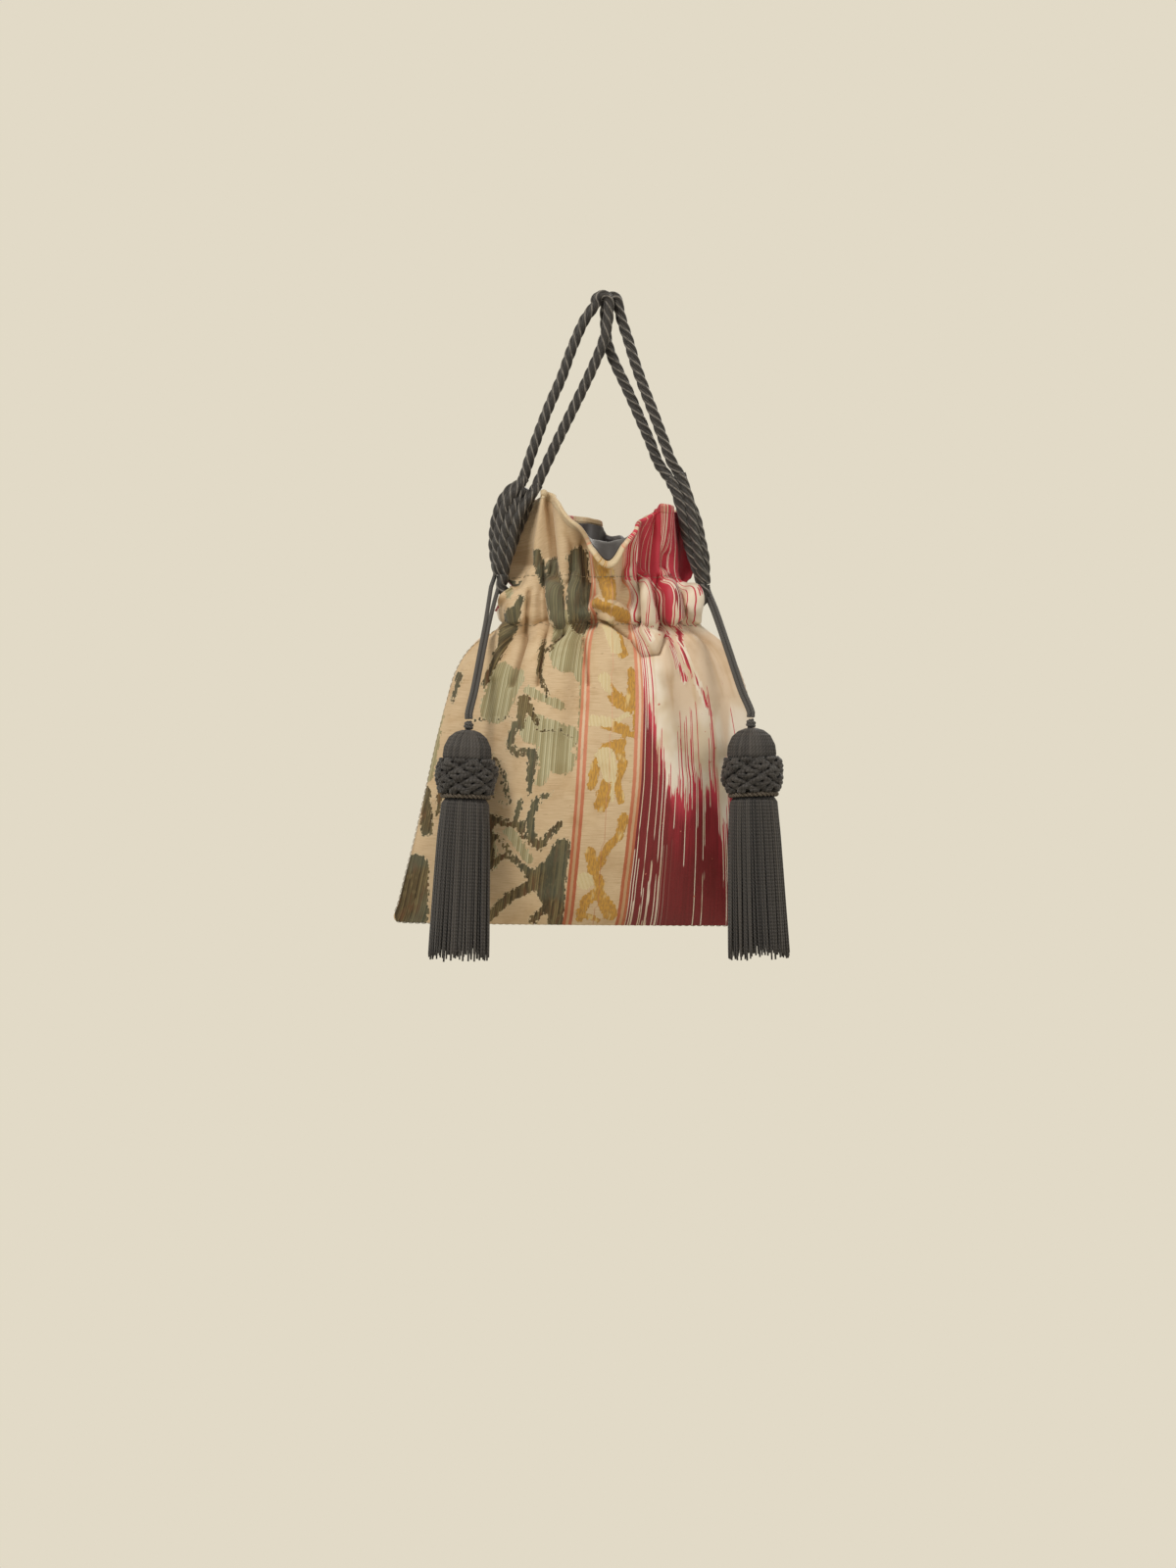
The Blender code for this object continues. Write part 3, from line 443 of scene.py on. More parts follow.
def rope_material():
    """Twisted silk rope. lay holds the place across a strand from -1 to 1, mm along it, and the strand."""
    s = Shader("rope", roughness=0.48, sheen=0.15, specular=0.5)
    place, along, strand = s.split("lay")
    plies = s.wave(s.add(place, s.times(along, 0.06)), 0.26)
    glint = s.step(s.math("ABSOLUTE", s.add(place, -0.12)), 0.30, 0.08, 0.95)
    broken = s.step(s.noise(s.times(place, 3.0), s.times(along, 0.5), strand), 0.25, 0.62)
    silk = s.mix(s.noise(s.times(place, 5.0), s.times(along, 0.3), strand, 3.0), (35, 31, 28), (62, 57, 51))
    colour = s.mix(s.times(glint, broken), silk, (156, 148, 136))
    colour = s.shade(colour, s.times(plies, 0.5), (150, 146, 140))
    return s.finish(colour, plies, 0.6, 0.0003)


def braid_material():
    """Fine braid. lay holds turns round the cord and mm along it."""
    s = Shader("thin_cord", roughness=0.55, sheen=0.1, specular=0.4)
    turn, along, _ = s.split("lay")
    one, two = (s.wave(s.add(s.times(along, 0.85), s.times(turn, way * 4.0)), 1.0) for way in (1, -1))
    cell = s.math("MAXIMUM", one, two)
    return s.finish(s.mix(s.step(cell, 0.55, 1.0), (34, 32, 30), (104, 100, 94)), cell, 0.7, 0.0003)


def yarn_material():
    """Tassel yarn. lay holds a shade for each thread, mm along it and turns round it."""
    s = Shader("yarn", roughness=0.62, sheen=0.2, specular=0.35)
    tone, along, turn = s.split("lay")
    twist = s.wave(s.add(s.times(along, 0.55), turn), 1.0)
    colour = s.mix(s.step(twist, 0.4, 1.0, 0.35), s.mix(tone, (35, 32, 29), (70, 65, 59)), (96, 90, 86))
    return s.finish(colour, twist, 0.5, 0.00025)


def thread_material(name, dark, light):
    """Sewing thread. lay holds turns and mm along."""
    s = Shader(name, roughness=0.6, specular=0.35)
    turn, along, _ = s.split("lay")
    twist = s.wave(s.add(s.times(along, 1.4), turn), 1.0)
    return s.finish(s.mix(twist, dark, light), twist, 0.5, 0.0001)


MATERIALS = {
    "brocade": brocade_material(),
    "lining": lining_material(),
    "rope": rope_material(),
    "thin_cord": braid_material(),
    "yarn": yarn_material(),
    "thread": thread_material("thread", (120, 108, 84), (170, 156, 126)),
    "band": thread_material("band", (52, 47, 42), (120, 108, 92)),
}


# ---------------------------------------------------------------- meshes
def triples(*parts):
    """Three numbers for each point, from parts whose shapes fit together."""
    return np.stack(np.broadcast_arrays(*parts), -1)


def make_piece(name, points, faces, values, material, body, node=None, slot=None):
    """A smooth closed mesh on a body. It stands for the node, where there is one."""
    mesh = bpy.data.meshes.new(name)
    mesh.from_pydata(points.tolist(), [], faces)
    mesh.update()
    for key, value in values.items():
        layer = mesh.attributes.new(key, "FLOAT_VECTOR", "POINT")
        layer.data.foreach_set("vector", np.ascontiguousarray(value, np.float32).ravel())
    if signed_volume(mesh) < 0:
        mesh.flip_normals()
    mesh.shade_smooth()
    mesh.materials.append(MATERIALS[material])
    ob = add_object(name, mesh)
    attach(ob, body)
    if node:
        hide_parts(node)
    return ob


class Build:
    """Gathers tubes into one mesh."""

    def __init__(self):
        self.points, self.values, self.faces, self.count = [], [], [], 0

    def grid(self, points, values):
        """A tube: rows of points, each row closed on itself, with a face at both ends."""
        rows, columns = points.shape[:2]
        index = np.arange(rows * columns).reshape(rows, columns) + self.count
        a, d = index[:-1], index[1:]
        self.faces += np.stack([a, np.roll(a, -1, 1), np.roll(d, -1, 1), d], -1).reshape(-1, 4).tolist()
        self.faces += [index[0, ::-1].tolist(), index[-1].tolist()]
        self.points.append(points.reshape(-1, 3))
        self.values.append(np.broadcast_to(values, (rows, columns, 3)).reshape(-1, 3))
        self.count += rows * columns

    def piece(self, name, *rest):
        return make_piece(name, np.vstack(self.points), self.faces, {"lay": np.vstack(self.values)}, *rest)


def signed_volume(mesh):
    mesh.calc_loop_triangles()
    points = np.zeros(len(mesh.vertices) * 3)
    mesh.vertices.foreach_get("co", points)
    corners = np.zeros(len(mesh.loop_triangles) * 3, int)
    mesh.loop_triangles.foreach_get("vertices", corners)
    a, b, c = points.reshape(-1, 3)[corners.reshape(-1, 3)].transpose(1, 0, 2)
    return np.einsum("ij,ij->i", a, np.cross(b, c)).sum()


def hermite(t, start, rise, end, fall):
    return (
        (2 * t**3 - 3 * t**2 + 1) * start + (t**3 - 2 * t**2 + t) * rise
        + (3 * t**2 - 2 * t**3) * end + (t**3 - t**2) * fall
    )


def smooth_route(route, spacing):
    """Points on a smooth curve through a route's own points, about a spacing apart."""
    points = [Vector(p) for p in route]
    made = [points[0]]
    for i, (start, end) in enumerate(zip(points, points[1:])):
        before = points[i - 1] if i else start * 2 - end
        after = points[i + 2] if i + 2 < len(points) else end * 2 - start
        length = (end - start).length
        rise = (end - before) * (length / (end - before).length)
        fall = (after - start) * (length / (after - start).length)
        cuts = max(1, round(length / spacing))
        made += [hermite(k / cuts, start, rise, end, fall) for k in range(1, cuts + 1)]
    return np.array(made)


def along(path):
    """Distance along a path at each of its points."""
    return np.concatenate([[0.0], np.cumsum(np.linalg.norm(np.diff(path, axis=0), axis=1))])


def round_turn(count):
    return np.linspace(0, 2 * math.pi, count, endpoint=False)


def frames(path):
    """Two directions square to a path at each point, carried along it without a twist."""
    ways = np.gradient(path, axis=0)
    ways /= np.linalg.norm(ways, axis=1, keepdims=True)
    first = np.cross(ways[0], [0.0, 1.0, 0.0])
    if np.linalg.norm(first) < 0.1:
        first = np.cross(ways[0], [1.0, 0.0, 0.0])
    sides = [first / np.linalg.norm(first)]
    for way in ways[1:]:
        side = sides[-1] - way * (sides[-1] @ way)
        sides.append(side / np.linalg.norm(side))
    sides = np.array(sides)
    return sides, np.cross(ways, sides)


def tube(build, path, radius, sides, values=None, turns=0.0):
    """A round tube along a path. radius is a number, or an array of one for each point, or point and side."""
    u, v = (way[:, None] for way in frames(path))
    angle = round_turn(sides)
    turned = (angle + np.reshape(turns, (-1, 1)))[..., None]
    r = np.reshape(radius, (-1, 1)) if np.ndim(radius) == 1 else np.broadcast_to(radius, (len(path), sides))
    if values is None:
        values = triples(angle / (2 * math.pi), along(path)[:, None] * 1000, 0.0)
    build.grid(path[:, None] + r[..., None] * (np.cos(turned) * u + np.sin(turned) * v), values)


LAY = 0.0250  # of a rope: one turn of its strands
FULL_ROPE = 0.0058  # a rope's width over its strands
STRANDS = 4


def rope(build, path, diameter=FULL_ROPE, phase=0.0, detail=12):
    """A rope of twisted strands, as one surface with a groove between each two strands."""
    middle, strand = 0.262 * diameter, 0.238 * diameter
    angle = round_turn(STRANDS * detail)
    part = 2 * math.pi / STRANDS
    off = (angle + part / 2) % part - part / 2
    outline = middle * np.cos(off) + np.sqrt(strand**2 - (middle * np.sin(off)) ** 2)
    far = along(path)
    values = triples(off / (part / 2), far[:, None] * 1000, angle // part)
    tube(build, path, np.tile(outline, (len(path), 1)), len(angle), values, phase - far / LAY * 2 * math.pi)


# ---------------------------------------------------------------- ropes, knots and thin cords
def knot_frame(top, bottom, t):
    """A point on a knot's bowed axis, its way down there, and the way out from the pouch."""
    chord = bottom - top
    out = Vector((math.copysign(1.0, top.x), 0.0, 0.0))
    out = (out - chord * (out.dot(chord) / chord.length_squared)).normalized()
    point = top + chord * t + out * KNOT_BOW * 4 * t * (1 - t)
    down = (chord + out * KNOT_BOW * 4 * (1 - 2 * t)).normalized()
    return point, down, (out - down * out.dot(down)).normalized()


def handle_route(side, outer, inner, bend, top, bottom):
    """From the knot up the outer strand, over the hook and down the inner strand. side is -1 at the left."""
    _, down, out = knot_frame(top, bottom, 0.0)
    apart = STRAND_SPREAD * (1.35 if side < 0 else 1.0)
    turn = [
        Vector((bend + side * HOOK_BEND * math.cos(a), side * HANDLE_SPREAD,
                ROPE / 2 - HOOK_BEND + HOOK_BEND * math.sin(a)))
        for a in np.linspace(-0.25, math.pi + 0.25, 8)
    ]
    below = [top - down * reach for reach in (GAP, 0.0045)]
    return [p + out * apart for p in below] + [*reversed(outer), *turn, *inner] + [
        p - out * apart for p in reversed(below)]


def run_route(side, z):
    """One rope in the channel: from its slit along the front, round the far side and back along the back."""
    half, depth = NECK_WIDTH / 2, NECK_DEPTH / 2
    start = half - TAIL_MEET
    near = [
        (start, TAIL_SPREAD), (start - 0.0010, TAIL_SPREAD), (start - 0.0045, 1.35 * TAIL_SPREAD),
        (0.62 * half, 0.46 * depth), (0.47 * half, 0.69 * depth),
    ]
    front = [(side * x, -y) for x, y in near] + [
        (side * half * math.sin(angle), -depth * math.cos(angle) ** NECK_ROUND)
        for angle in np.radians([12.0, -10.0, -30.0, -48.0, -63.0, -78.0])
    ]
    back = [(x, -y) for x, y in reversed(front)]
    return [Vector((NECK_CENTRE + x, y, z)) for x, y in front + [(-side * half * 0.985, 0.0)] + back]


def tail_route(side, z, lane, top, bottom):
    """One end of a rope: straight out of its slit, then up into the knot."""
    _, down, out = knot_frame(top, bottom, 1.0)
    edge = NECK_CENTRE + side * NECK_WIDTH / 2
    y = lane * TAIL_SPREAD
    up = bottom + down * GAP - out * TAIL_INSET
    turn = max(abs(edge) + 0.0065, abs(up.x) + 0.0015) * side
    return [
        Vector((edge - side * (TAIL_MEET - GAP), y, z)),
        Vector((edge - side * 0.0040, y, z)),
        Vector((edge + side * 0.0025, y, z + 0.0004)),
        Vector((turn, y, 0.55 * z + 0.45 * up.z)),
        Vector((up.x, y, up.z)) + down * 0.0015,
        Vector((up.x, y, up.z)),
    ]


def cord_route(top, bottom, foot):
    """The thin cord, from under the knot down to the tie, bowed forward to clear the cloth."""
    _, down, out = knot_frame(top, bottom, 1.0)
    start = bottom + down * RUN_GAP + out * CORD_OUTSET * (0.4 if top.x < 0 else 0.0)
    end = foot + Vector((0.0, 0.0, RUN_GAP))
    bow = [start + (end - start) * share - Vector((0.0, forward, 0.0))
           for share, forward in ((0.20, 0.0030), (0.50, 0.0045), (0.80, 0.0020))]
    return [start, start + down * 0.0030, *bow, end + Vector((0.0, 0.0, 0.0030)), end]


# Passes of the rope in each knot: share of the way down the knot, mm out from its axis, mm towards the front
LEFT_PASSES = (
    ((-0.09, -4, 0.2), (0, -4.1, 1), (0.12, -3.2, 3), (0.3, -2.2, 4.6), (0.5, -2.4, 5), (0.7, -3.2, 4.2),
     (0.9, -2.4, 2.4), (1.04, -1.9, 0.4)),
    ((-0.09, 4, 0.2), (0, 4.4, 1), (0.1, 5.3, 2.6), (0.22, 5.8, 3.6), (0.36, 5.4, 3.4), (0.52, 4.8, 3),
     (0.7, 3.8, 2.6), (0.9, 1.9, 1.6), (1, 1, 0.2)),
    ((0.1, 2.4, -1), (0.18, 2, 2), (0.34, 1.6, 5), (0.52, 1.4, 5.4), (0.72, 0.6, 4.6), (0.9, 0.2, 2.8),
     (1, 0, 0.5)),
    ((-0.02, 3, -2.2), (0.04, 6.2, -1.2), (0.18, 8.4, -0.4), (0.36, 8.5, 0), (0.52, 7.6, -0.4),
     (0.7, 5.8, -0.6), (0.9, 2.8, -0.8), (1, 0.6, -0.6)),
    ((0, -3.2, -2), (0.2, -4.4, -3.2), (0.5, -4.2, -3.8), (0.75, -3.2, -3.2), (1, -0.8, -1)),
    ((0, 1, -3), (0.2, 1.2, -4.8), (0.5, 1, -5), (0.75, 0.6, -4.2), (1, 0, -1.4)),
    ((0, 4.6, -2.6), (0.2, 6.2, -4), (0.5, 5.6, -4), (0.75, 3.6, -3.2), (1, 1, -1)),
    ((0.02, 0.6, 0), (0.25, 2.6, 0.4), (0.5, 2.2, 0.6), (0.75, 1.2, 0.4), (0.96, 0, 0)),
)
RIGHT_PASSES = (
    ((-0.09, -2.9, 0.4), (0, -2.7, 2), (0.2, -2.5, 3.2), (0.35, -3.2, 3.6), (0.55, -3.6, 3.8),
     (0.75, -3.2, 3.2), (0.9, -2.4, 1.8), (1.04, -1.7, 0.4)),
    ((-0.09, 2.9, 0.4), (0, 2.6, 1), (0.18, 2.3, 3), (0.35, 1.4, 4.8), (0.55, 0.5, 5.2), (0.75, -0.4, 4.6),
     (0.9, -0.8, 2.8), (1, -0.4, 0.8)),
    ((0.16, 1, -1.6), (0.26, 2.9, 0.2), (0.4, 3.5, 2), (0.56, 3.3, 2.5), (0.75, 2.7, 2.3), (0.92, 0.9, 1),
     (1, 0.2, 0)),
    ((0, -2.2, -2.4), (0.2, -2.6, -3.4), (0.5, -2.8, -4.2), (0.75, -2.4, -3.8), (1, -0.8, -1)),
    ((0, 2, -2.4), (0.2, 2.8, -3.6), (0.5, 2.6, -4.4), (0.75, 1.6, -3.8), (1, 0.2, -1)),
    ((0.02, 0, 0), (0.3, 0, 0), (0.6, 0, 0), (0.96, 0, 0)),
)


def make_knot(build, side, top, bottom):
    """The knot: passes of the rope that lie side by side and draw together at its foot."""
    for k, stops in enumerate(LEFT_PASSES if side < 0 else RIGHT_PASSES):
        route = []
        for t, across, forward in stops:
            middle, _, out = knot_frame(top, bottom, t)
            shift = 0.0028 * (1 - t) * t if side < 0 else -0.0016 * (1 - abs(2 * t - 1.2))
            route.append(middle + out * (across / 1000 + shift) + Vector((0.0, -forward / 1000, 0.0)))
        rope(build, smooth_route(route, 0.0007), FULL_ROPE * (1.0 + 0.02 * math.sin(2.4 * k)), 1.7 * k)


CORD_STRAND = 0.00108  # radius of each of a thin cord's two strands
CORD_APART = 0.00098  # of each from their middle
CORD_SPREAD = {-1: 0.0014, 1: 0.0001}  # how much further under the left and the right knot
CORD_BEAT = 0.00118  # length of one cell of their braid


def make_cords(name, side, top, bottom, route, foot):
    """One rope's pieces, then the thin cord under its knot, which it gives back with its path."""
    drawcord = f"{name}_drawcord"
    loop_path = smooth_route(route, 0.0009)
    build = Build()
    rope(build, loop_path)
    loop = build.piece(f"{name}_handle", "rope", drawcord, f"{name}_handle_loop")
    build = Build()
    make_knot(build, side, top, bottom)
    build.piece(f"{name}_rope_knot", "rope", drawcord, f"{name}_knot")

    z = LEFT_ROPE_Z if side < 0 else RIGHT_ROPE_Z
    for lane, lane_name in ((-1, "front"), (1, "back")):
        build = Build()
        rope(build, smooth_route(tail_route(side, z, lane, top, bottom), 0.0009), phase=lane)
        build.piece(f"{name}_end_{lane_name}", "rope", drawcord, f"{name}_tail_{lane_name}")
    build = Build()
    rope(build, smooth_route(run_route(side, z), 0.0012), detail=8)
    build.piece(f"{name}_rope_in_channel", "rope", "pouch", f"{name}_cord_run")

    path = smooth_route(cord_route(top, bottom, foot), 0.00045)
    far = along(path)
    spread = CORD_SPREAD[side] * np.clip(1 - far / 0.034, 0, 1) ** 1.4 * np.clip(far / 0.008, 0, 1)
    sideways = np.cross(np.gradient(path, axis=0), [0.0, 1.0, 0.0])
    sideways /= np.linalg.norm(sideways, axis=1, keepdims=True)
    angle, beat = 4 * round_turn(12), far[:, None] / CORD_BEAT * 2 * math.pi
    radius = CORD_STRAND * (1 + 0.10 * np.cos(angle + beat) * np.cos(angle - beat))
    build = Build()
    for lane in (-1, 1):
        tube(build, path + sideways * (lane * (CORD_APART + spread))[:, None], radius, 12)
    cord = build.piece(f"{name}_thin_cord", "thin_cord", f"{name}_hanging_cord", f"{name}_tassel_cord")
    return cord, path


# ---------------------------------------------------------------- tassels
def tassel_space(foot, side, lean):
    """Turns points of a tassel about its own axis, with Z down from the tie, into the row frame."""
    c, s = math.cos(-side * lean), math.sin(-side * lean)

    def moved(points):
        x, y, z = np.moveaxis(points, -1, 0)
        return triples(c * x - s * z + foot.x, y + foot.y, -s * x - c * z + foot.z)

    return moved


def ring(radius, turn, down):
    """Points about a tassel's axis."""
    return triples(radius * np.cos(turn), radius * np.sin(turn), down)


RIBS = 40  # cords of yarn over a head
HEAD_FOOT = 0.0345  # how far down from the tie the head ends and the skirt begins
BRAIDS = 12  # doubled yarns each way round a collar
BRAID_TURN = math.radians(118)  # that each makes on its way down
SKIRT = ((62, 0.0), (44, 0.0016))  # threads in each layer, and how far in it lies
SKIRT_TOP, SKIRT_LENGTH = 0.0352, 0.1185


def make_tassel(name, side, foot, lean, seed):
    """The pieces of a tassel. It gives back its tie."""
    rng = np.random.default_rng(seed)
    place = tassel_space(foot, side, lean)
    start = TIE_LENGTH + GAP
    body, yarn = f"{name}_tassel", f"{name}_tassel_yarn"
    profile = np.array(YARN).T

    # tie: the thin cord wound round itself
    build = Build()
    t = np.linspace(0, 1, 90)
    swell = TIE_WIDTH * (0.16 + 0.20 * np.sin(math.pi * t) ** 0.7)
    wound = ring(swell, 2 * math.pi * 2.6 * t, 0.0006 + t * (TIE_LENGTH - 0.0006))
    tube(build, place(wound), 0.00085, 10)
    tube(build, place(ring(0.0, 0.0, t * (TIE_LENGTH + 0.0012))[::6]), 0.0011, 10)
    tie = build.piece(f"{name}_tie", "thin_cord", body, f"{name}_tassel_tie")

    # head: cords of yarn laid over a dome
    downs = np.concatenate([np.linspace(0, 0.006, 16), np.linspace(0.0066, HEAD_FOOT, 30)])[:, None]
    core = np.interp(downs, *profile)
    core = np.where(downs < 0.0165, core, np.minimum(core, 0.0112))
    angle = round_turn(RIBS * 6)
    turns = angle * RIBS / (2 * math.pi) + downs * 16.0
    phase, which = turns % 1.0, np.floor(turns).astype(int) % RIBS
    lift = rng.uniform(-1, 1, RIBS)[which] * 0.00022
    bulge = 0.00062 * np.sin(math.pi * phase) ** 0.7 - 0.0002 + lift
    tone = rng.uniform(0, 1, RIBS)[which]
    build = Build()
    build.grid(place(ring(core + bulge * np.minimum(core / 0.007, 1.0), angle, start + downs)),
               triples(tone, downs * 1000, phase))
    build.piece(f"{name}_tassel_head", "yarn", body, yarn)

    # collar: a braid of doubled yarn round the head, over a pad
    build = Build()
    t = np.linspace(0, 1, 44)
    collar = 0.0118 + 0.0026 * np.sin(math.pi * (0.10 + 0.80 * t)) ** 0.7
    top = start + COLLAR_TOP + 0.0002
    angle = round_turn(88)
    pad = (collar - 0.0011)[:, None] * (1 + 0.012 * np.sin(11 * angle))
    build.grid(place(ring(pad, angle, (top + COLLAR_HEIGHT * (0.03 + 0.93 * t))[:, None])),
               triples(0.15, 700 * t[:, None] * COLLAR_HEIGHT, 11 * angle / 6.28))
    down = top + COLLAR_HEIGHT * (0.02 + 0.95 * t)
    for way in (-1, 1):
        for k in range(BRAIDS):
            turn = 2 * math.pi * (k + 0.25 * way) / BRAIDS + way * BRAID_TURN * t
            over = 0.00095 * np.cos(BRAIDS * way * BRAID_TURN * t + math.pi * k) * way
            wobble = rng.normal(0, 0.00030) + 0.0004 * np.sin(9 * t + rng.uniform(0, 6))
            path = ring(collar + over + wobble, turn, down)
            tint = rng.uniform(0.1, 0.7)
            for ply in (-0.00078, 0.00078):
                strand = path + ring(ply, turn + math.pi / 2, 0.0)
                values = triples(tint, along(strand)[:, None] * 1000, np.linspace(0, 1, 8))
                tube(build, place(strand), 0.00108, 8, values)
    build.piece(f"{name}_tassel_collar_braid", "yarn", body, f"{name}_tassel_collar")

    # band: two twisted threads round the neck
    build = Build()
    turn = np.linspace(0, 2 * math.pi, 181)
    for k in range(2):
        twist = 16 * turn + math.pi * k
        down = start + BAND_MIDDLE - 0.0006 + 0.00062 * np.sin(twist) + 0.0004 * np.sin(turn)
        tube(build, place(ring(BAND_RADIUS + 0.0009 + 0.00062 * np.cos(twist), turn, down)), 0.00072, 7)
    build.piece(f"{name}_tassel_neck_band", "band", body, f"{name}_tassel_band", "yarn")

    # skirt: threads in two layers over a core
    build = Build()
    downs = np.concatenate([np.linspace(HEAD_FOOT, 0.0400, 8), np.linspace(0.044, 0.1130, 10)])[:, None]
    build.grid(place(ring(np.interp(downs, *profile) - 0.0011, round_turn(24), start + downs)),
               triples(0.0, downs * 1000, np.linspace(0, 1, 24)))
    t = np.linspace(0, 1, 24)
    for layer, (count, inset) in enumerate(SKIRT):
        for k in range(count):
            length = SKIRT_LENGTH - 0.002 * layer + rng.uniform(-0.0022, 0.0022)
            down = SKIRT_TOP + (length - SKIRT_TOP) * t
            r = np.interp(down, *profile) - inset
            r = r + rng.uniform(-0.0004, 0.0005) * np.clip(t * 4, 0, 1)
            sway = rng.normal(0, 0.020) * t + 0.018 * np.sin(2.5 * t + rng.uniform(0, 6)) * t
            turn = 2 * math.pi * (k + rng.uniform(-0.18, 0.18)) / count + sway
            path = ring(r + rng.normal(0, 0.0003) * t**3, turn, start + down)
            values = triples(rng.uniform(0, 1) ** 1.3, along(path)[:, None] * 1000, np.linspace(0, 1, 6))
            width = 0.00066 * (1 + 0.1 * rng.uniform(-1, 1)) * (1 - 0.3 * t**12)
            tube(build, place(path), width, 6, values)
    build.piece(f"{name}_tassel_skirt", "yarn", body, yarn)
    return tie


def make_side(name, side, top, bottom, outer, inner, bend, foot, lean, seed):
    """A rope with its knot, thin cord and tassel. Lean is the tassel's, in degrees."""
    top, bottom, foot = Vector(top), Vector(bottom), Vector(foot)
    route = handle_route(side, outer, inner, bend, top, bottom)
    cord, path = make_cords(name, side, top, bottom, route, foot)
    tie = make_tassel(name, side, foot, math.radians(lean), seed)


make_side("left", -1, (-0.0418, -0.0010, -0.0995), (-0.0560, -0.0010, -0.1450), LEFT_OUTER, LEFT_INNER, -0.0018,
          (-0.0715, -0.0345, -0.2235), 2.5, 3)
make_side("right", 1, (0.0385, -0.0010, -0.0980), (0.0530, -0.0010, -0.1500), RIGHT_OUTER, RIGHT_INNER, 0.0032,
          (0.0755, -0.0330, -0.2225), 2.0, 8)


# ---------------------------------------------------------------- cloth
def through(table, places):
    """The columns of a table of smooth extremes at the places given, by a cubic that never overshoots them."""
    rows = np.array(table, float)
    at, values = rows[:, 0], rows[:, 1:]
    steps = np.diff(at)[:, None]
    slopes = np.diff(values, axis=0) / steps
    before, after = slopes[:-1], slopes[1:]
    same = before * after > 0
    inner = np.where(same, 2 * before * after / np.where(same, before + after, 1.0), 0.0)
    bends = np.vstack([slopes[:1], inner, slopes[-1:]])
    index = np.clip(np.searchsorted(at, places, side="right") - 1, 0, len(at) - 2)
    width = steps[index]
    t = ((places - at[index]) / width[:, 0])[:, None]
    return hermite(t, values[index], width * bends[index], values[index + 1], width * bends[index + 1])


def level(side, across, left, right, depth, roundness, outset, z):
    """One level of the cloth as points in space. z is one height, or one for each point."""
    angle = across * math.pi / 2
    half = (right - left) / 2
    x = (left + right) / 2 + half * np.sin(angle)
    y = side * depth * np.cos(angle).clip(0) ** roundness
    out = np.stack([np.sin(angle) / half, side * np.cos(angle) / max(depth, 0.3 * half)])
    out /= np.linalg.norm(out, axis=0)
    return triples(x + outset * out[0], y + outset * out[1], z)


def stations(side, across):
    """The outer cloth's levels from the bottom seam up to the rim, each as points at the places across."""
    pleats = through(FRONT_PLEATS if side < 0 else BACK_PLEATS, across)[:, 0]
    folds = through(FRONT_FOLDS if side < 0 else BACK_FOLDS, across)[:, 0]
    foot = CHANNEL_TOP - CHANNEL_HEIGHT
    left_foot, right_foot = NECK_CENTRE - FOOT_WIDTH / 2, NECK_CENTRE + FOOT_WIDTH / 2
    levels = []
    for down, left, right, depth, roundness, pleat, fold in LEVELS:
        z = foot + down * (BOTTOM_Z - foot) + down**4 * (
            CORNER_LIFT * np.abs(across) ** 14 - BOTTOM_SLOPE * across / 2)
        levels.append(level(
            side, across, left_foot + left * (BOTTOM_LEFT - left_foot),
            right_foot + right * (BOTTOM_RIGHT - right_foot), CLOTH / 2 + GAP / 2 + depth * BODY_DEPTH,
            roundness, pleat * PLEAT * pleats + fold * FOLD * folds, z,
        ))
    for width, depth, outset, height, z, droop in CHANNEL_LEVELS:
        levels.append(level(side, across, NECK_CENTRE - width / 2, NECK_CENTRE + width / 2, depth, NECK_ROUND,
                            outset + height * PLEAT * pleats, z - droop * pleats.clip(0)))
    rim = through(FRONT_RIM if side < 0 else BACK_RIM, across)
    chord = rim - levels[-1]
    length = np.linalg.norm(chord, axis=1, keepdims=True)
    slack = (HEADER - length).clip(0.0002)
    lean = np.array([0.0, 0.0, 1.0]) - chord * chord[:, 2:] / length**2
    levels += [levels[-1] + chord / 2 + lean * np.sqrt(3 * length * slack / 8), rim]
    return np.stack(levels), pleats


def cloth_grid(side, across, rows):
    """Points of the outer cloth's middle at each row and place across."""
    levels, pleats = stations(side, across)
    grid = []
    for row in rows:
        low = min(int(row), RIM_ROW - 1)
        start, end = levels[low], levels[low + 1]
        rise = (end - levels[max(low - 1, 0)]) / 2
        fall = (levels[min(low + 2, RIM_ROW)] - start) / 2
        points = hermite(row - low, start, rise, end, fall)
        z = points[:, 2]
        for rope_z, near in ((LEFT_ROPE_Z, across < 0), (RIGHT_ROPE_Z, across > 0)):
            slit = np.exp(-(((z - rope_z - SLIT_RISE) / SLIT_REACH) ** 4)) * near
            points[:, 1] += side * SLIT_SPREAD * slit * across**4
        points[:, 1] = side * np.maximum(side * points[:, 1], CLOTH / 2 + GAP / 2)
        grid.append(points)
    return np.stack(grid), pleats


def normals_of(side, grid, rounds):
    """Outward directions over a grid of points, evened out so that a thick cloth never folds into itself."""
    normals = np.cross(np.gradient(grid, axis=1), np.gradient(grid, axis=0)) * -side
    normals /= np.linalg.norm(normals, axis=2, keepdims=True).clip(1e-9)
    for _ in range(rounds):
        padded = np.pad(normals, ((1, 1), (1, 1), (0, 0)), mode="edge")
        beside = padded[1:-1, 2:] + padded[1:-1, :-2]
        above = padded[2:, 1:-1] + padded[:-2, 1:-1]
        normals = padded[1:-1, 1:-1] * 2 + beside + 0.5 * above
        normals /= np.linalg.norm(normals, axis=2, keepdims=True)
    return normals


def own_side(side, grid):
    grid[..., 1] = side * np.maximum(side * grid[..., 1], GAP / 2)
    return grid


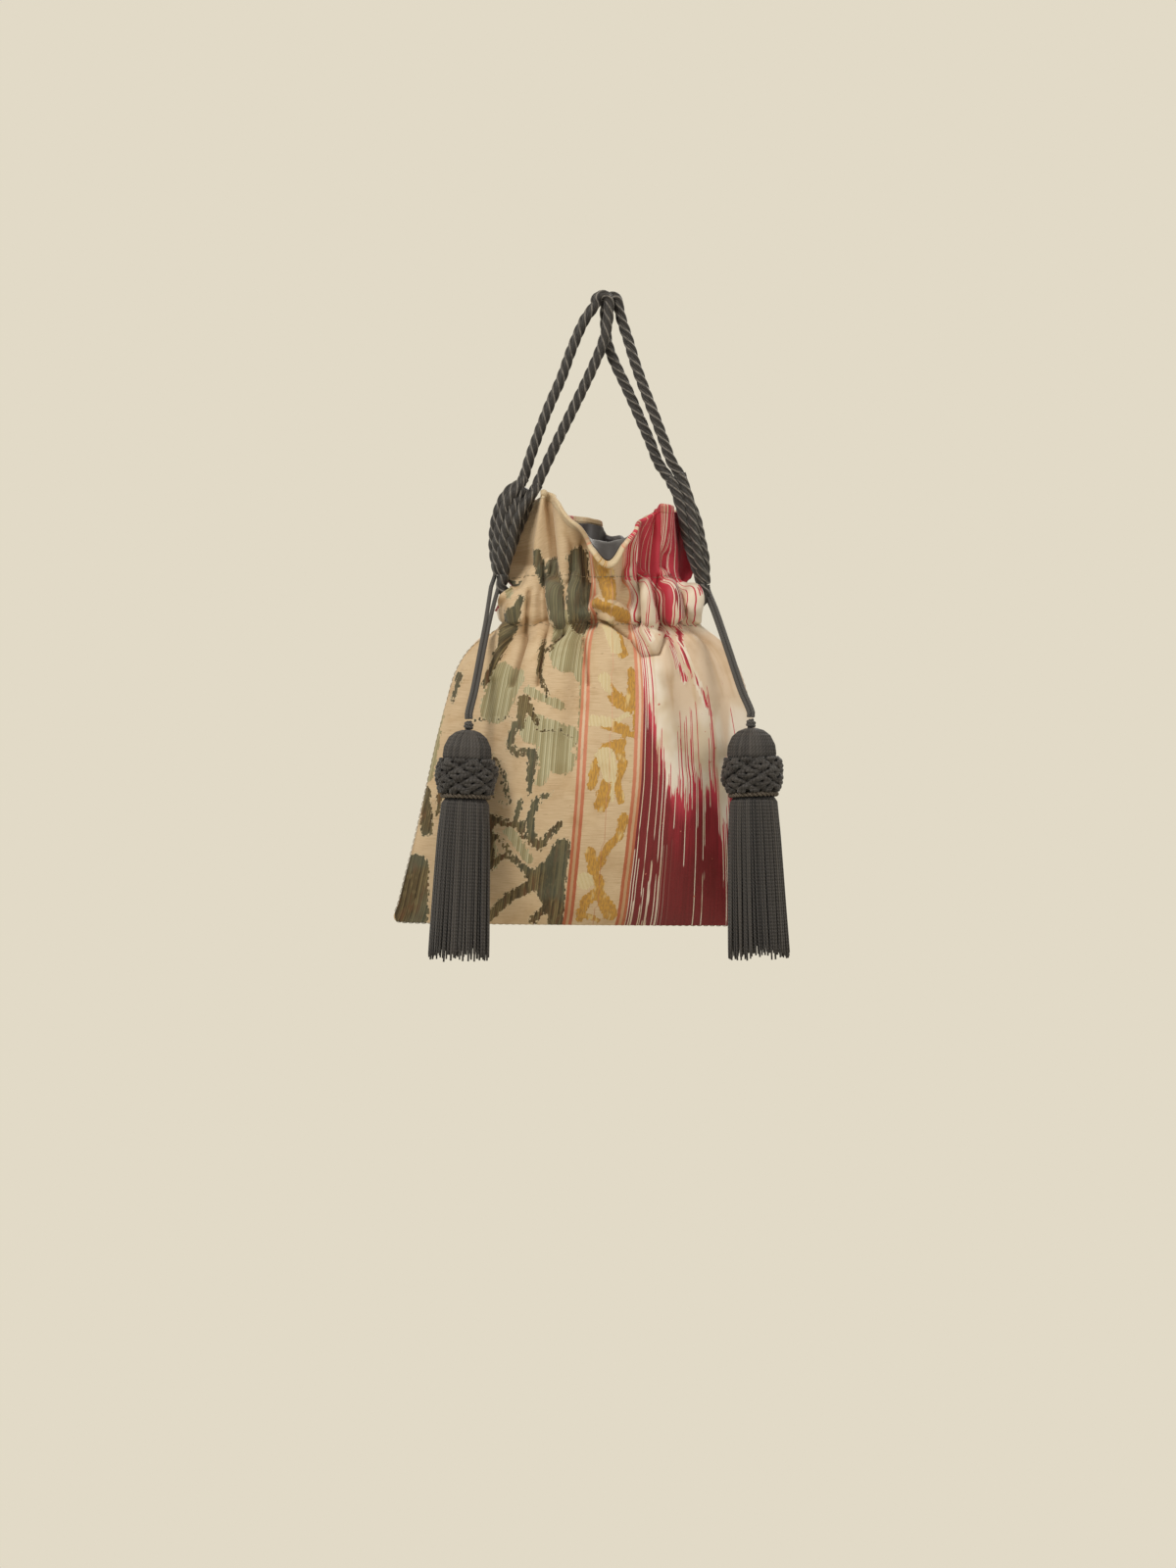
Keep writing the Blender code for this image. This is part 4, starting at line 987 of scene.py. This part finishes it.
def climbed(grid):
    """Distance up the cloth from its lowest row."""
    return np.cumsum(np.linalg.norm(np.diff(grid, axis=0, prepend=grid[:1]), axis=2), 0)


def closed_sheet(name, outer, inner, material, values, node):
    """A thin solid between two grids of points that face each other."""
    rows, columns = outer.shape[:2]
    index = np.arange(rows * columns).reshape(rows, columns)
    back = rows * columns
    front = np.stack([index[:-1, :-1], index[:-1, 1:], index[1:, 1:], index[1:, :-1]], -1).reshape(-1, 4)
    faces = [front, front[:, ::-1] + back]
    for edge in (index[0], index[:, -1], index[-1, ::-1], index[::-1, 0]):
        faces.append(np.stack([edge[1:], edge[:-1], edge[:-1] + back, edge[1:] + back], -1))
    points = np.vstack([outer.reshape(-1, 3), inner.reshape(-1, 3)])
    both = {key: np.tile(value.reshape(-1, 3), (2, 1)) for key, value in values.items()}
    return make_piece(name, points, np.vstack(faces).tolist(), both, material, "pouch", node)


# The pattern and the folds were placed on the photograph, in steps of 0.52 mm from its left and top edge
PIXEL = 0.00052
ORIGIN = (618.0, 307.0)  # the hang point in these steps
# Folds and creases of the front that the pleats leave out: width at the start and the end, height outwards or
# depth inwards in mm, and the points that each runs through
RIDGES = (
    (26, 10, 3.4, 575, 512, 577, 556, 577, 594), (30, 10, 5, 620, 573, 622, 596, 622, 618),
    (14, 17, 4.2, 598, 628, 610, 617, 625, 621, 642, 634), (12, 14, 3.4, 640, 585, 638, 610, 647, 632),
    (12, 16, 4, 655, 592, 658, 615, 664, 640), (16, 20, 4.4, 679, 588, 683, 604, 688, 630),
    (18, 24, 4, 700, 576, 708, 600, 704, 618), (16, 20, 4.6, 561, 580, 566, 610, 572, 638),
    (10, 16, 3.4, 588, 590, 583, 615, 577, 640), (20, 14, 3.2, 521, 622, 505, 690),
    (26, 30, 3.8, 658, 650, 664, 656), (30, 40, 2.6, 702, 660, 730, 760), (22, 30, 2.6, 545, 590, 545, 640),
    (26, 30, 2, 578, 668, 568, 740), (24, 20, 3, 527, 500, 530, 560), (30, 14, 2.4, 676, 520, 680, 560),
)
CREASES = (
    (12, 10, 2.4, 558, 496, 562, 530, 566, 572), (16, 16, 3, 592, 560, 603, 610, 604, 638),
    (6, 6, 3.4, 604, 634, 625, 641, 642, 652), (7, 7, 3.4, 650, 578, 652, 612, 651, 640),
    (5, 5, 3, 668, 600, 671, 646), (6, 6, 2, 671, 590, 668, 602), (6, 6, 3.2, 700, 622, 690, 636),
    (8, 8, 3, 556, 578, 558, 640, 549, 700), (13, 13, 3.2, 526, 580, 527, 597),
    (9, 10, 3.6, 541, 606, 537, 650, 522, 700), (6, 6, 2.8, 645, 655, 655, 671, 672, 669, 678, 650),
    (30, 30, 1.4, 682, 700, 700, 780), (7, 7, 2.4, 596, 654, 600, 700), (8, 8, 2.6, 575, 648, 566, 656),
    (18, 20, 2.6, 589, 528, 593, 562), (10, 14, 2, 655, 520, 654, 580), (8, 8, 1.6, 672, 505, 675, 580),
    (10, 10, 1.8, 537, 520, 541, 575),
)
FOLD_EDGE = 0.62  # share of its width at which a fold ends
# How far the header's side seams lie out and back behind the knots: height, mm to the right at the left seam
# and at the right seam, and mm back
SEAM_SHIFT = (
    (-0.1524, 0, 0, 0), (-0.149, -6, 3.4, 3.4), (-0.1468, -9.4, 7.4, 6.6), (-0.1425, -11.4, 9.9, 9.2),
    (-0.134, -12, 11.4, 10), (-0.122, -12, 11.5, 10.2), (-0.112, -8.5, 10, 9.2), (-0.1, -5, 6.5, 7.5),
)
# Strokes of the pattern: width at the start and the end, and the points that each runs through
GREEN = (
    (6, 13, 532, 612, 522, 640), (13, 5, 522, 640, 508, 672, 495, 700), (11, 14, 526, 578, 527, 592),
    (8, 12, 548, 566, 556, 596), (14, 12, 566, 578, 570, 632), (22, 18, 590, 572, 592, 640),
    (4, 8, 556, 655, 552, 672), (7, 3, 552, 672, 551, 690, 560, 712), (4, 4, 574, 650, 562, 664, 552, 668),
    (13, 8, 536, 716, 532, 742), (8, 5, 540, 722, 549, 738), (6, 7, 527, 740, 521, 762, 530, 770),
    (6, 10, 530, 768, 543, 768), (10, 5, 545, 770, 541, 808), (3, 7, 564, 808, 548, 817),
    (8, 8, 548, 817, 541, 836, 544, 852, 551, 863), (7, 5, 551, 863, 561, 851, 573, 839),
    (5, 6, 532, 817, 528, 836, 535, 852, 546, 862), (9, 7, 497, 834, 514, 838, 531, 842),
    (10, 12, 499, 842, 500, 882), (4, 6, 507, 851, 518, 863, 529, 880), (6, 5, 497, 884, 514, 873, 528, 879),
    (5, 12, 528, 879, 545, 893), (16, 30, 574, 862, 562, 900), (34, 20, 560, 896, 566, 926),
    (12, 9, 545, 900, 520, 915, 497, 936), (8, 6, 544, 938, 556, 926), (12, 18, 566, 926, 568, 940),
    (24, 34, 426, 884, 420, 934), (6, 14, 437, 806, 436, 846), (3, 3, 503, 770, 516, 790, 520, 812),
    (2, 2, 500, 790, 514, 800, 522, 818), (3, 3, 506, 812, 516, 822), (2, 2, 498, 776, 516, 778),
    (1.5, 1.5, 484, 735, 504, 734, 524, 733), (1.5, 1.5, 545, 748, 572, 745, 596, 765),
    (9, 5, 601, 600, 606, 640), (10, 8, 470, 880, 462, 930), (7, 4, 455, 780, 447, 830),
    (6, 3, 470, 690, 463, 716),
)
MINT = (
    (30, 32, 580, 640, 578, 672), (22, 8, 584, 672, 592, 694), (7, 7, 596, 690, 592, 770),
    (26, 30, 514, 690, 506, 724), (14, 8, 530, 690, 516, 728), (24, 30, 560, 770, 572, 776),
    (14, 8, 560, 776, 552, 800), (30, 20, 546, 745, 580, 752), (12, 12, 500, 850, 504, 880),
    (8, 8, 519, 600, 520, 608), (14, 16, 448, 720, 436, 790), (10, 10, 520, 846, 540, 876),
    (9, 9, 540, 706, 572, 722),
)
GOLD = (
    (5, 9, 624, 640, 634, 668), (4, 11, 621, 700, 628, 714), (11, 4, 628, 714, 640, 727),
    (5, 9, 643, 686, 645, 708), (9, 4, 645, 708, 641, 730), (6, 8, 622, 738, 636, 745),
    (5, 5, 614, 740, 634, 747, 648, 752), (6, 9, 635, 758, 617, 765), (9, 6, 617, 765, 607, 784, 603, 803),
    (11, 11, 620, 800, 613, 821), (7, 6, 631, 765, 635, 780, 629, 799, 633, 816), (8, 6, 636, 834, 632, 851),
    (6, 6, 632, 851, 619, 864, 612, 880), (8, 8, 602, 868, 606, 888),
    (7, 8, 603, 889, 612, 898, 611, 910, 598, 917), (7, 6, 598, 917, 592, 936), (9, 12, 612, 912, 622, 930),
    (12, 6, 612, 575, 621, 612), (7, 8, 612, 618, 634, 632), (5, 3, 648, 720, 648, 752),
    (4, 4, 590, 930, 610, 938),
)
CREAM = (
    (9, 9, 620, 640, 628, 664), (9, 4, 616, 694, 622, 708), (8, 8, 603, 736, 620, 738),
    (15, 12, 617, 772, 622, 790), (3, 3, 626, 792, 624, 816), (12, 13, 596, 896, 597, 898),
    (4, 4, 640, 730, 630, 736),
)
RED_STREAKS = (
    (8, 4, 686, 588, 690, 632), (4, 4, 690, 632, 697, 672), (4, 1, 697, 672, 712, 706, 723, 731),
    (1.5, 1, 680, 646, 688, 676, 697, 696), (2, 1, 706, 590, 712, 610), (2, 1, 660, 640, 665, 656),
)
# Where the double orange lines run, by row from the bottom: sine of the place across
LEFT_LINE = (
    (0, -0.1), (3, -0.095), (6, -0.088), (9, -0.085), (13, -0.09), (15, -0.155),
)
RIGHT_LINE = (
    (0, 0.1735), (2, 0.193), (3.2, 0.216), (4.2, 0.2455), (5.3, 0.266), (7, 0.29), (9, 0.31), (13, 0.31),
    (15, 0.315),
)
# Lower edge of the cream clouds, where the crimson under them ends: x and y
CRIMSON_TOP = (
    (640, 690), (656, 700), (664, 735), (676, 772), (685, 812), (700, 822), (712, 803), (722, 800),
    (730, 812), (738, 858), (745, 800), (760, 800), (800, 805),
)
HALF_CUTS = (95.0, 29.0, 86.0)  # mm of flat cloth to the left of the lines, between them and to the right
OUTSIDE = -20.0  # for a point that is far from every stroke


def photo_place(side, grid):
    """Where the points of a panel are in the steps of the photograph. The back is mirrored."""
    x = grid[..., 0] if side < 0 else BOTTOM_LEFT + BOTTOM_RIGHT - grid[..., 0]
    return x / PIXEL + ORIGIN[0], -grid[..., 2] / PIXEL + ORIGIN[1]


def stretches(line, x, y):
    """For each stretch of a line: how far away each point is, and how far along the line, from 0 to 1."""
    points = np.array(line, float).reshape(-1, 2)
    total = along(points)
    for i, (a, b) in enumerate(zip(points, points[1:])):
        t = ((x - a[0]) * (b[0] - a[0]) + (y - a[1]) * (b[1] - a[1])) / ((b - a) @ (b - a))
        t = t.clip(0, 1)
        away = np.hypot(x - a[0] - t * (b[0] - a[0]), y - a[1] - t * (b[1] - a[1]))
        yield away, (total[i] + t * (total[i + 1] - total[i])) / total[-1]


def reach_of(table, x, y):
    """The highest of a table's folds at each point, in mm."""
    best = np.zeros(x.shape)
    for first, last, height, *line in table:
        for away, share in stretches(line, x, y):
            edge = FOLD_EDGE * (first + (last - first) * share)
            best = np.maximum(best, height * np.cos(math.pi / 2 * np.clip(away / edge, 0, 1)) ** 2)
    return best


def strokes(table, x, y, swell=1.0):
    """How far inside the nearest stroke each point lies, in mm, and less than 0 outside."""
    best = np.full(x.shape, OUTSIDE)
    for first, last, *line in table:
        for away, share in stretches(line, x, y):
            best = np.maximum(best, swell * (first + (last - first) * share) / 2 - away)
    return best * PIXEL * 1000


def fold(side, grid, pleats, rows):
    """The grid of a cloth with its folds and creases, which stop short of the ropes in the channel."""
    px, py = photo_place(side, grid)
    rise, fall = reach_of(RIDGES, px, py) / 1000, reach_of(CREASES, px, py) / 1000
    rows = np.asarray(rows)[:, None]
    over_ropes = np.interp(rows, [FOOT_ROW - 0.4, FOOT_ROW + 0.6, TOP_ROW - 0.4, TOP_ROW + 0.5], [0, 1, 1, 0])
    room = PLEAT * (pleats + 1) * 0.7
    low = np.interp(rows, [0, 2], [0, 1])
    move = low * (0.9 * rise - fall * (1 - over_ropes) - np.minimum(fall, room) * over_ropes)
    return grid + normals_of(side, grid, 10) * move[..., None]


def behind_knots(points, across):
    """Carries the sides of the header out and back behind the knots."""
    height, left, right, back = np.array(SEAM_SHIFT).T
    z = points[..., 2]
    shares = (((np.abs(across) - start) / width).clip(0, 1) for start, width in ((0.84, 0.16), (0.70, 0.26)))
    late, early = (share**2 * (3 - 2 * share) for share in shares)
    moved = points.copy()
    moved[..., 0] += np.where(across < 0, np.interp(z, height, left), np.interp(z, height, right)) * late / 1000
    moved[..., 1] += np.interp(z, height, back) * early / 1000
    return moved


def pattern(side, grid, across, rows):
    """What the shader reads at each point: its place on the flat cloth, how far inside each figure it is."""
    px, py = photo_place(side, grid)
    u = np.sin((across if side < 0 else -across) * math.pi / 2)
    left, right = (np.interp(rows, *np.array(line).T)[:, None] for line in (LEFT_LINE, RIGHT_LINE))
    before, between, after = HALF_CUTS
    flat = np.where(
        u < left, (u - left) / (1 + left) * before,
        np.where(u < right, (u - left) / (right - left) * between,
                 between + (u - right) / (1 - right) * after),
    )
    line = np.where(np.abs(flat) < np.abs(flat - between), flat, flat - between)
    up = climbed(grid) * 1000
    # crimson: under the clouds on the body, round a middle of its own in the gathered neck and in the header
    rows = rows[:, None]
    header = rows > TOP_ROW - 0.2
    centre, spread, most = (np.where(header, *pair) for pair in ((0.78, 0.68), (0.42, 0.10), (19.0, 9.0)))
    body = np.minimum((py - np.interp(px, *np.array(CRIMSON_TOP, float).T)) * PIXEL * 1000, 40.0)
    neck = np.clip((spread - np.abs(u - centre)) * 60.0, -14.0, most)
    share = np.where(rows > FOOT_ROW - 0.6, np.clip((rows - FOOT_ROW + 0.9) / 0.9, 0, 1), 0.0)
    streaks = strokes(RED_STREAKS, px, py)
    red = np.maximum(body * (1 - share) + neck * share, np.where(streaks > -1.0, streaks * 12.0, -99.0))
    return {
        "cloth": triples(flat, up, up[-1:] - up),
        "leaves": triples(strokes(GREEN, px, py), strokes(MINT, px, py), strokes(GOLD, px, py, 1.35)),
        "stripes": triples(strokes(CREAM, px, py, 1.3), line, red),
        "folds": triples(reach_of(CREASES, px, py), reach_of(RIDGES, px, py), 0.0),
    }


def cloth_rows():
    """Rows from the bottom seam to the rim, closer together where the cloth is gathered."""
    return np.concatenate([
        np.linspace(0, 5, 46)[:-1], np.linspace(5, FOOT_ROW, 46)[:-1], np.linspace(FOOT_ROW, TOP_ROW, 52)[:-1],
        np.linspace(TOP_ROW, RIM_ROW, 66),
    ])


RIM_ROLL = 0.0009  # of the rim's rounded edge
HEM = 0.0046  # height of the turned hem
HEM_RISE = 0.00025  # of the cloth over it


def make_panel(name, node, side):
    across = np.linspace(-1, 1, 219)
    rows = cloth_rows()
    plain, pleats = cloth_grid(side, across, rows)
    grid = fold(side, plain, pleats, rows)
    normals = normals_of(side, grid, 3)
    up = climbed(grid)
    from_rim = (up[-1:] - up)[..., None]
    roll = np.sqrt(np.clip(1 - (1 - np.clip(from_rim / RIM_ROLL, 0, 1)) ** 2, 0.05, 1))
    inner_hem = np.clip((rows - HEM_ROW) / 0.03, 0, 1)[:, None, None] * (LINING + GAP)
    faces = (
        behind_knots(own_side(side, grid + normals * offset * roll), across)
        for offset in (CLOTH / 2 + (from_rim < HEM) * HEM_RISE, -CLOTH / 2 - inner_hem)
    )
    return closed_sheet(name, *faces, "brocade", pattern(side, plain, across, rows), node)


def make_lining(name, node, side):
    """The lining lies against the outer cloth, and parts from it in the channel to leave the ropes room."""
    across = np.linspace(-1, 1, 121)
    rows = cloth_rows()
    rows = rows[(rows >= 1) & (rows <= HEM_ROW)]
    plain, pleats = cloth_grid(side, across, rows)
    grid, places = [], []
    for row, deep in zip(rows, side * plain[..., 1]):
        inside = across[deep >= CLOTH + LINING + 3 * GAP]
        places.append(across * np.where(across < 0, abs(inside[0]), abs(inside[-1])) * 0.985)
        grid.append(cloth_grid(side, places[-1], [row])[0][0])
    places = np.stack(places)
    grid = fold(side, np.stack(grid), pleats, rows)
    normals = normals_of(side, grid, 3)
    share = np.interp(rows, [FOOT_ROW, FOOT_ROW + 1, FOOT_ROW + 3, TOP_ROW - 0.4, TOP_ROW],
                      [0.0, 1.0, 1.0, 0.85, 0.0])[:, None, None]
    half = NECK_WIDTH / 2 - LINING_INSET
    deep = NECK_DEPTH / 2 - ROPE / 2 - 4 * GAP - LINING / 2
    faces = []
    for face in (LINING / 2, -LINING / 2):
        sewn = grid - normals * (CLOTH / 2 + GAP + LINING / 2 - face)
        outset = face + LINING_PLEAT * (pleats - 1) * np.cos(across * math.pi / 2)
        apart = np.stack([
            level(side, across, NECK_CENTRE - half, NECK_CENTRE + half, deep, NECK_ROUND, outset, height)
            for height in grid[..., 2].mean(1)
        ])
        faces.append(behind_knots(own_side(side, sewn * (1 - share) + apart * share), places))
    values = {"cloth": triples(across * 100, climbed(grid) * 1000, 0.0)}
    return closed_sheet(name, *faces, "lining", values, node)


for make, piece, node, flat in (
    (make_panel, "cloth", "panel", (0.210, 0.235)), (make_lining, "black_lining", "lining", (0.195, 0.220)),
):
    for name, side in (("front", -1), ("back", 1)):
        sheet = make(f"{name}_{piece}", f"{name}_{node}", side)


# ---------------------------------------------------------------- sewing stitches
STITCH = 0.0034  # from one stitch to the next
STITCH_THREAD = 0.00018  # radius of the thread
SEAM_REACH = 0.00135  # of a stitch to both sides of a seam
SEAM_RISE, SEAM_BOW = 0.00025, 0.0004  # of it off the cloth at its ends, and further at its middle
CHANNEL_RISE = 0.00022  # of a stitch of the channel off the cloth
# Each stitch: share of the way to the next, and place across the seam or height over the cloth
SEAM_STITCH = ((0.0, -1.0), (0.25, -0.55), (0.5, 0.55), (0.75, 1.0))
CHANNEL_STITCH = ((0.0, -0.6), (0.15, 0.5), (0.4, 0.7), (0.6, 0.0))


def stitches(build, line, outwards, across_seam):
    """Short stitches along a line of points. outwards is the way off the cloth at each of them."""
    far = along(line)
    columns = np.hstack([line, outwards]).T
    for start in np.arange(0.002, far[-1] - STITCH, STITCH):
        points = []
        for share, lift in SEAM_STITCH if across_seam else CHANNEL_STITCH:
            here = np.array([np.interp(start + share * STITCH, far, column) for column in columns])
            base, off = here[:3], here[3:]
            if across_seam:
                rise = SEAM_RISE + SEAM_BOW * (1 - abs(lift))
                points.append(base + off * rise + np.array([0.0, lift * SEAM_REACH, 0.0]))
            else:
                points.append(base + off * CHANNEL_RISE * (lift + 0.3))
        tube(build, smooth_route(points, 0.0005), STITCH_THREAD, 5)


def make_stitches():
    """Stitches over the side and bottom seams, and along the two seams of the channel."""
    seams, _ = cloth_grid(-1, np.array([-1.0, 1.0]), np.linspace(0.1, FOOT_ROW - 0.2, 60))
    bottom, _ = cloth_grid(-1, np.linspace(-0.97, 0.97, 80), [0.02])
    build = Build()
    for line, way in ((seams[:, 0], (-1, 0, 0)), (seams[:, 1], (1, 0, 0)), (bottom[0], (0, 0, -1))):
        stitches(build, line * (1.0, 0.0, 1.0), np.tile(way, (len(line), 1)), True)
    build.piece("seam_stitches", "thread", "pouch")
    across = np.linspace(-0.96, 0.96, 150)
    for name, side in (("front", -1), ("back", 1)):
        build = Build()
        for row in (FOOT_ROW, TOP_ROW):
            around = np.array([row - 0.05, row, row + 0.05])
            grid = fold(side, *cloth_grid(side, across, around), around)
            off = normals_of(side, grid, 3)[1]
            stitches(build, behind_knots(grid[1] + off * (CLOTH / 2), across), off, False)
        build.piece(f"{name}_channel_stitches", "thread", "pouch")


make_stitches()
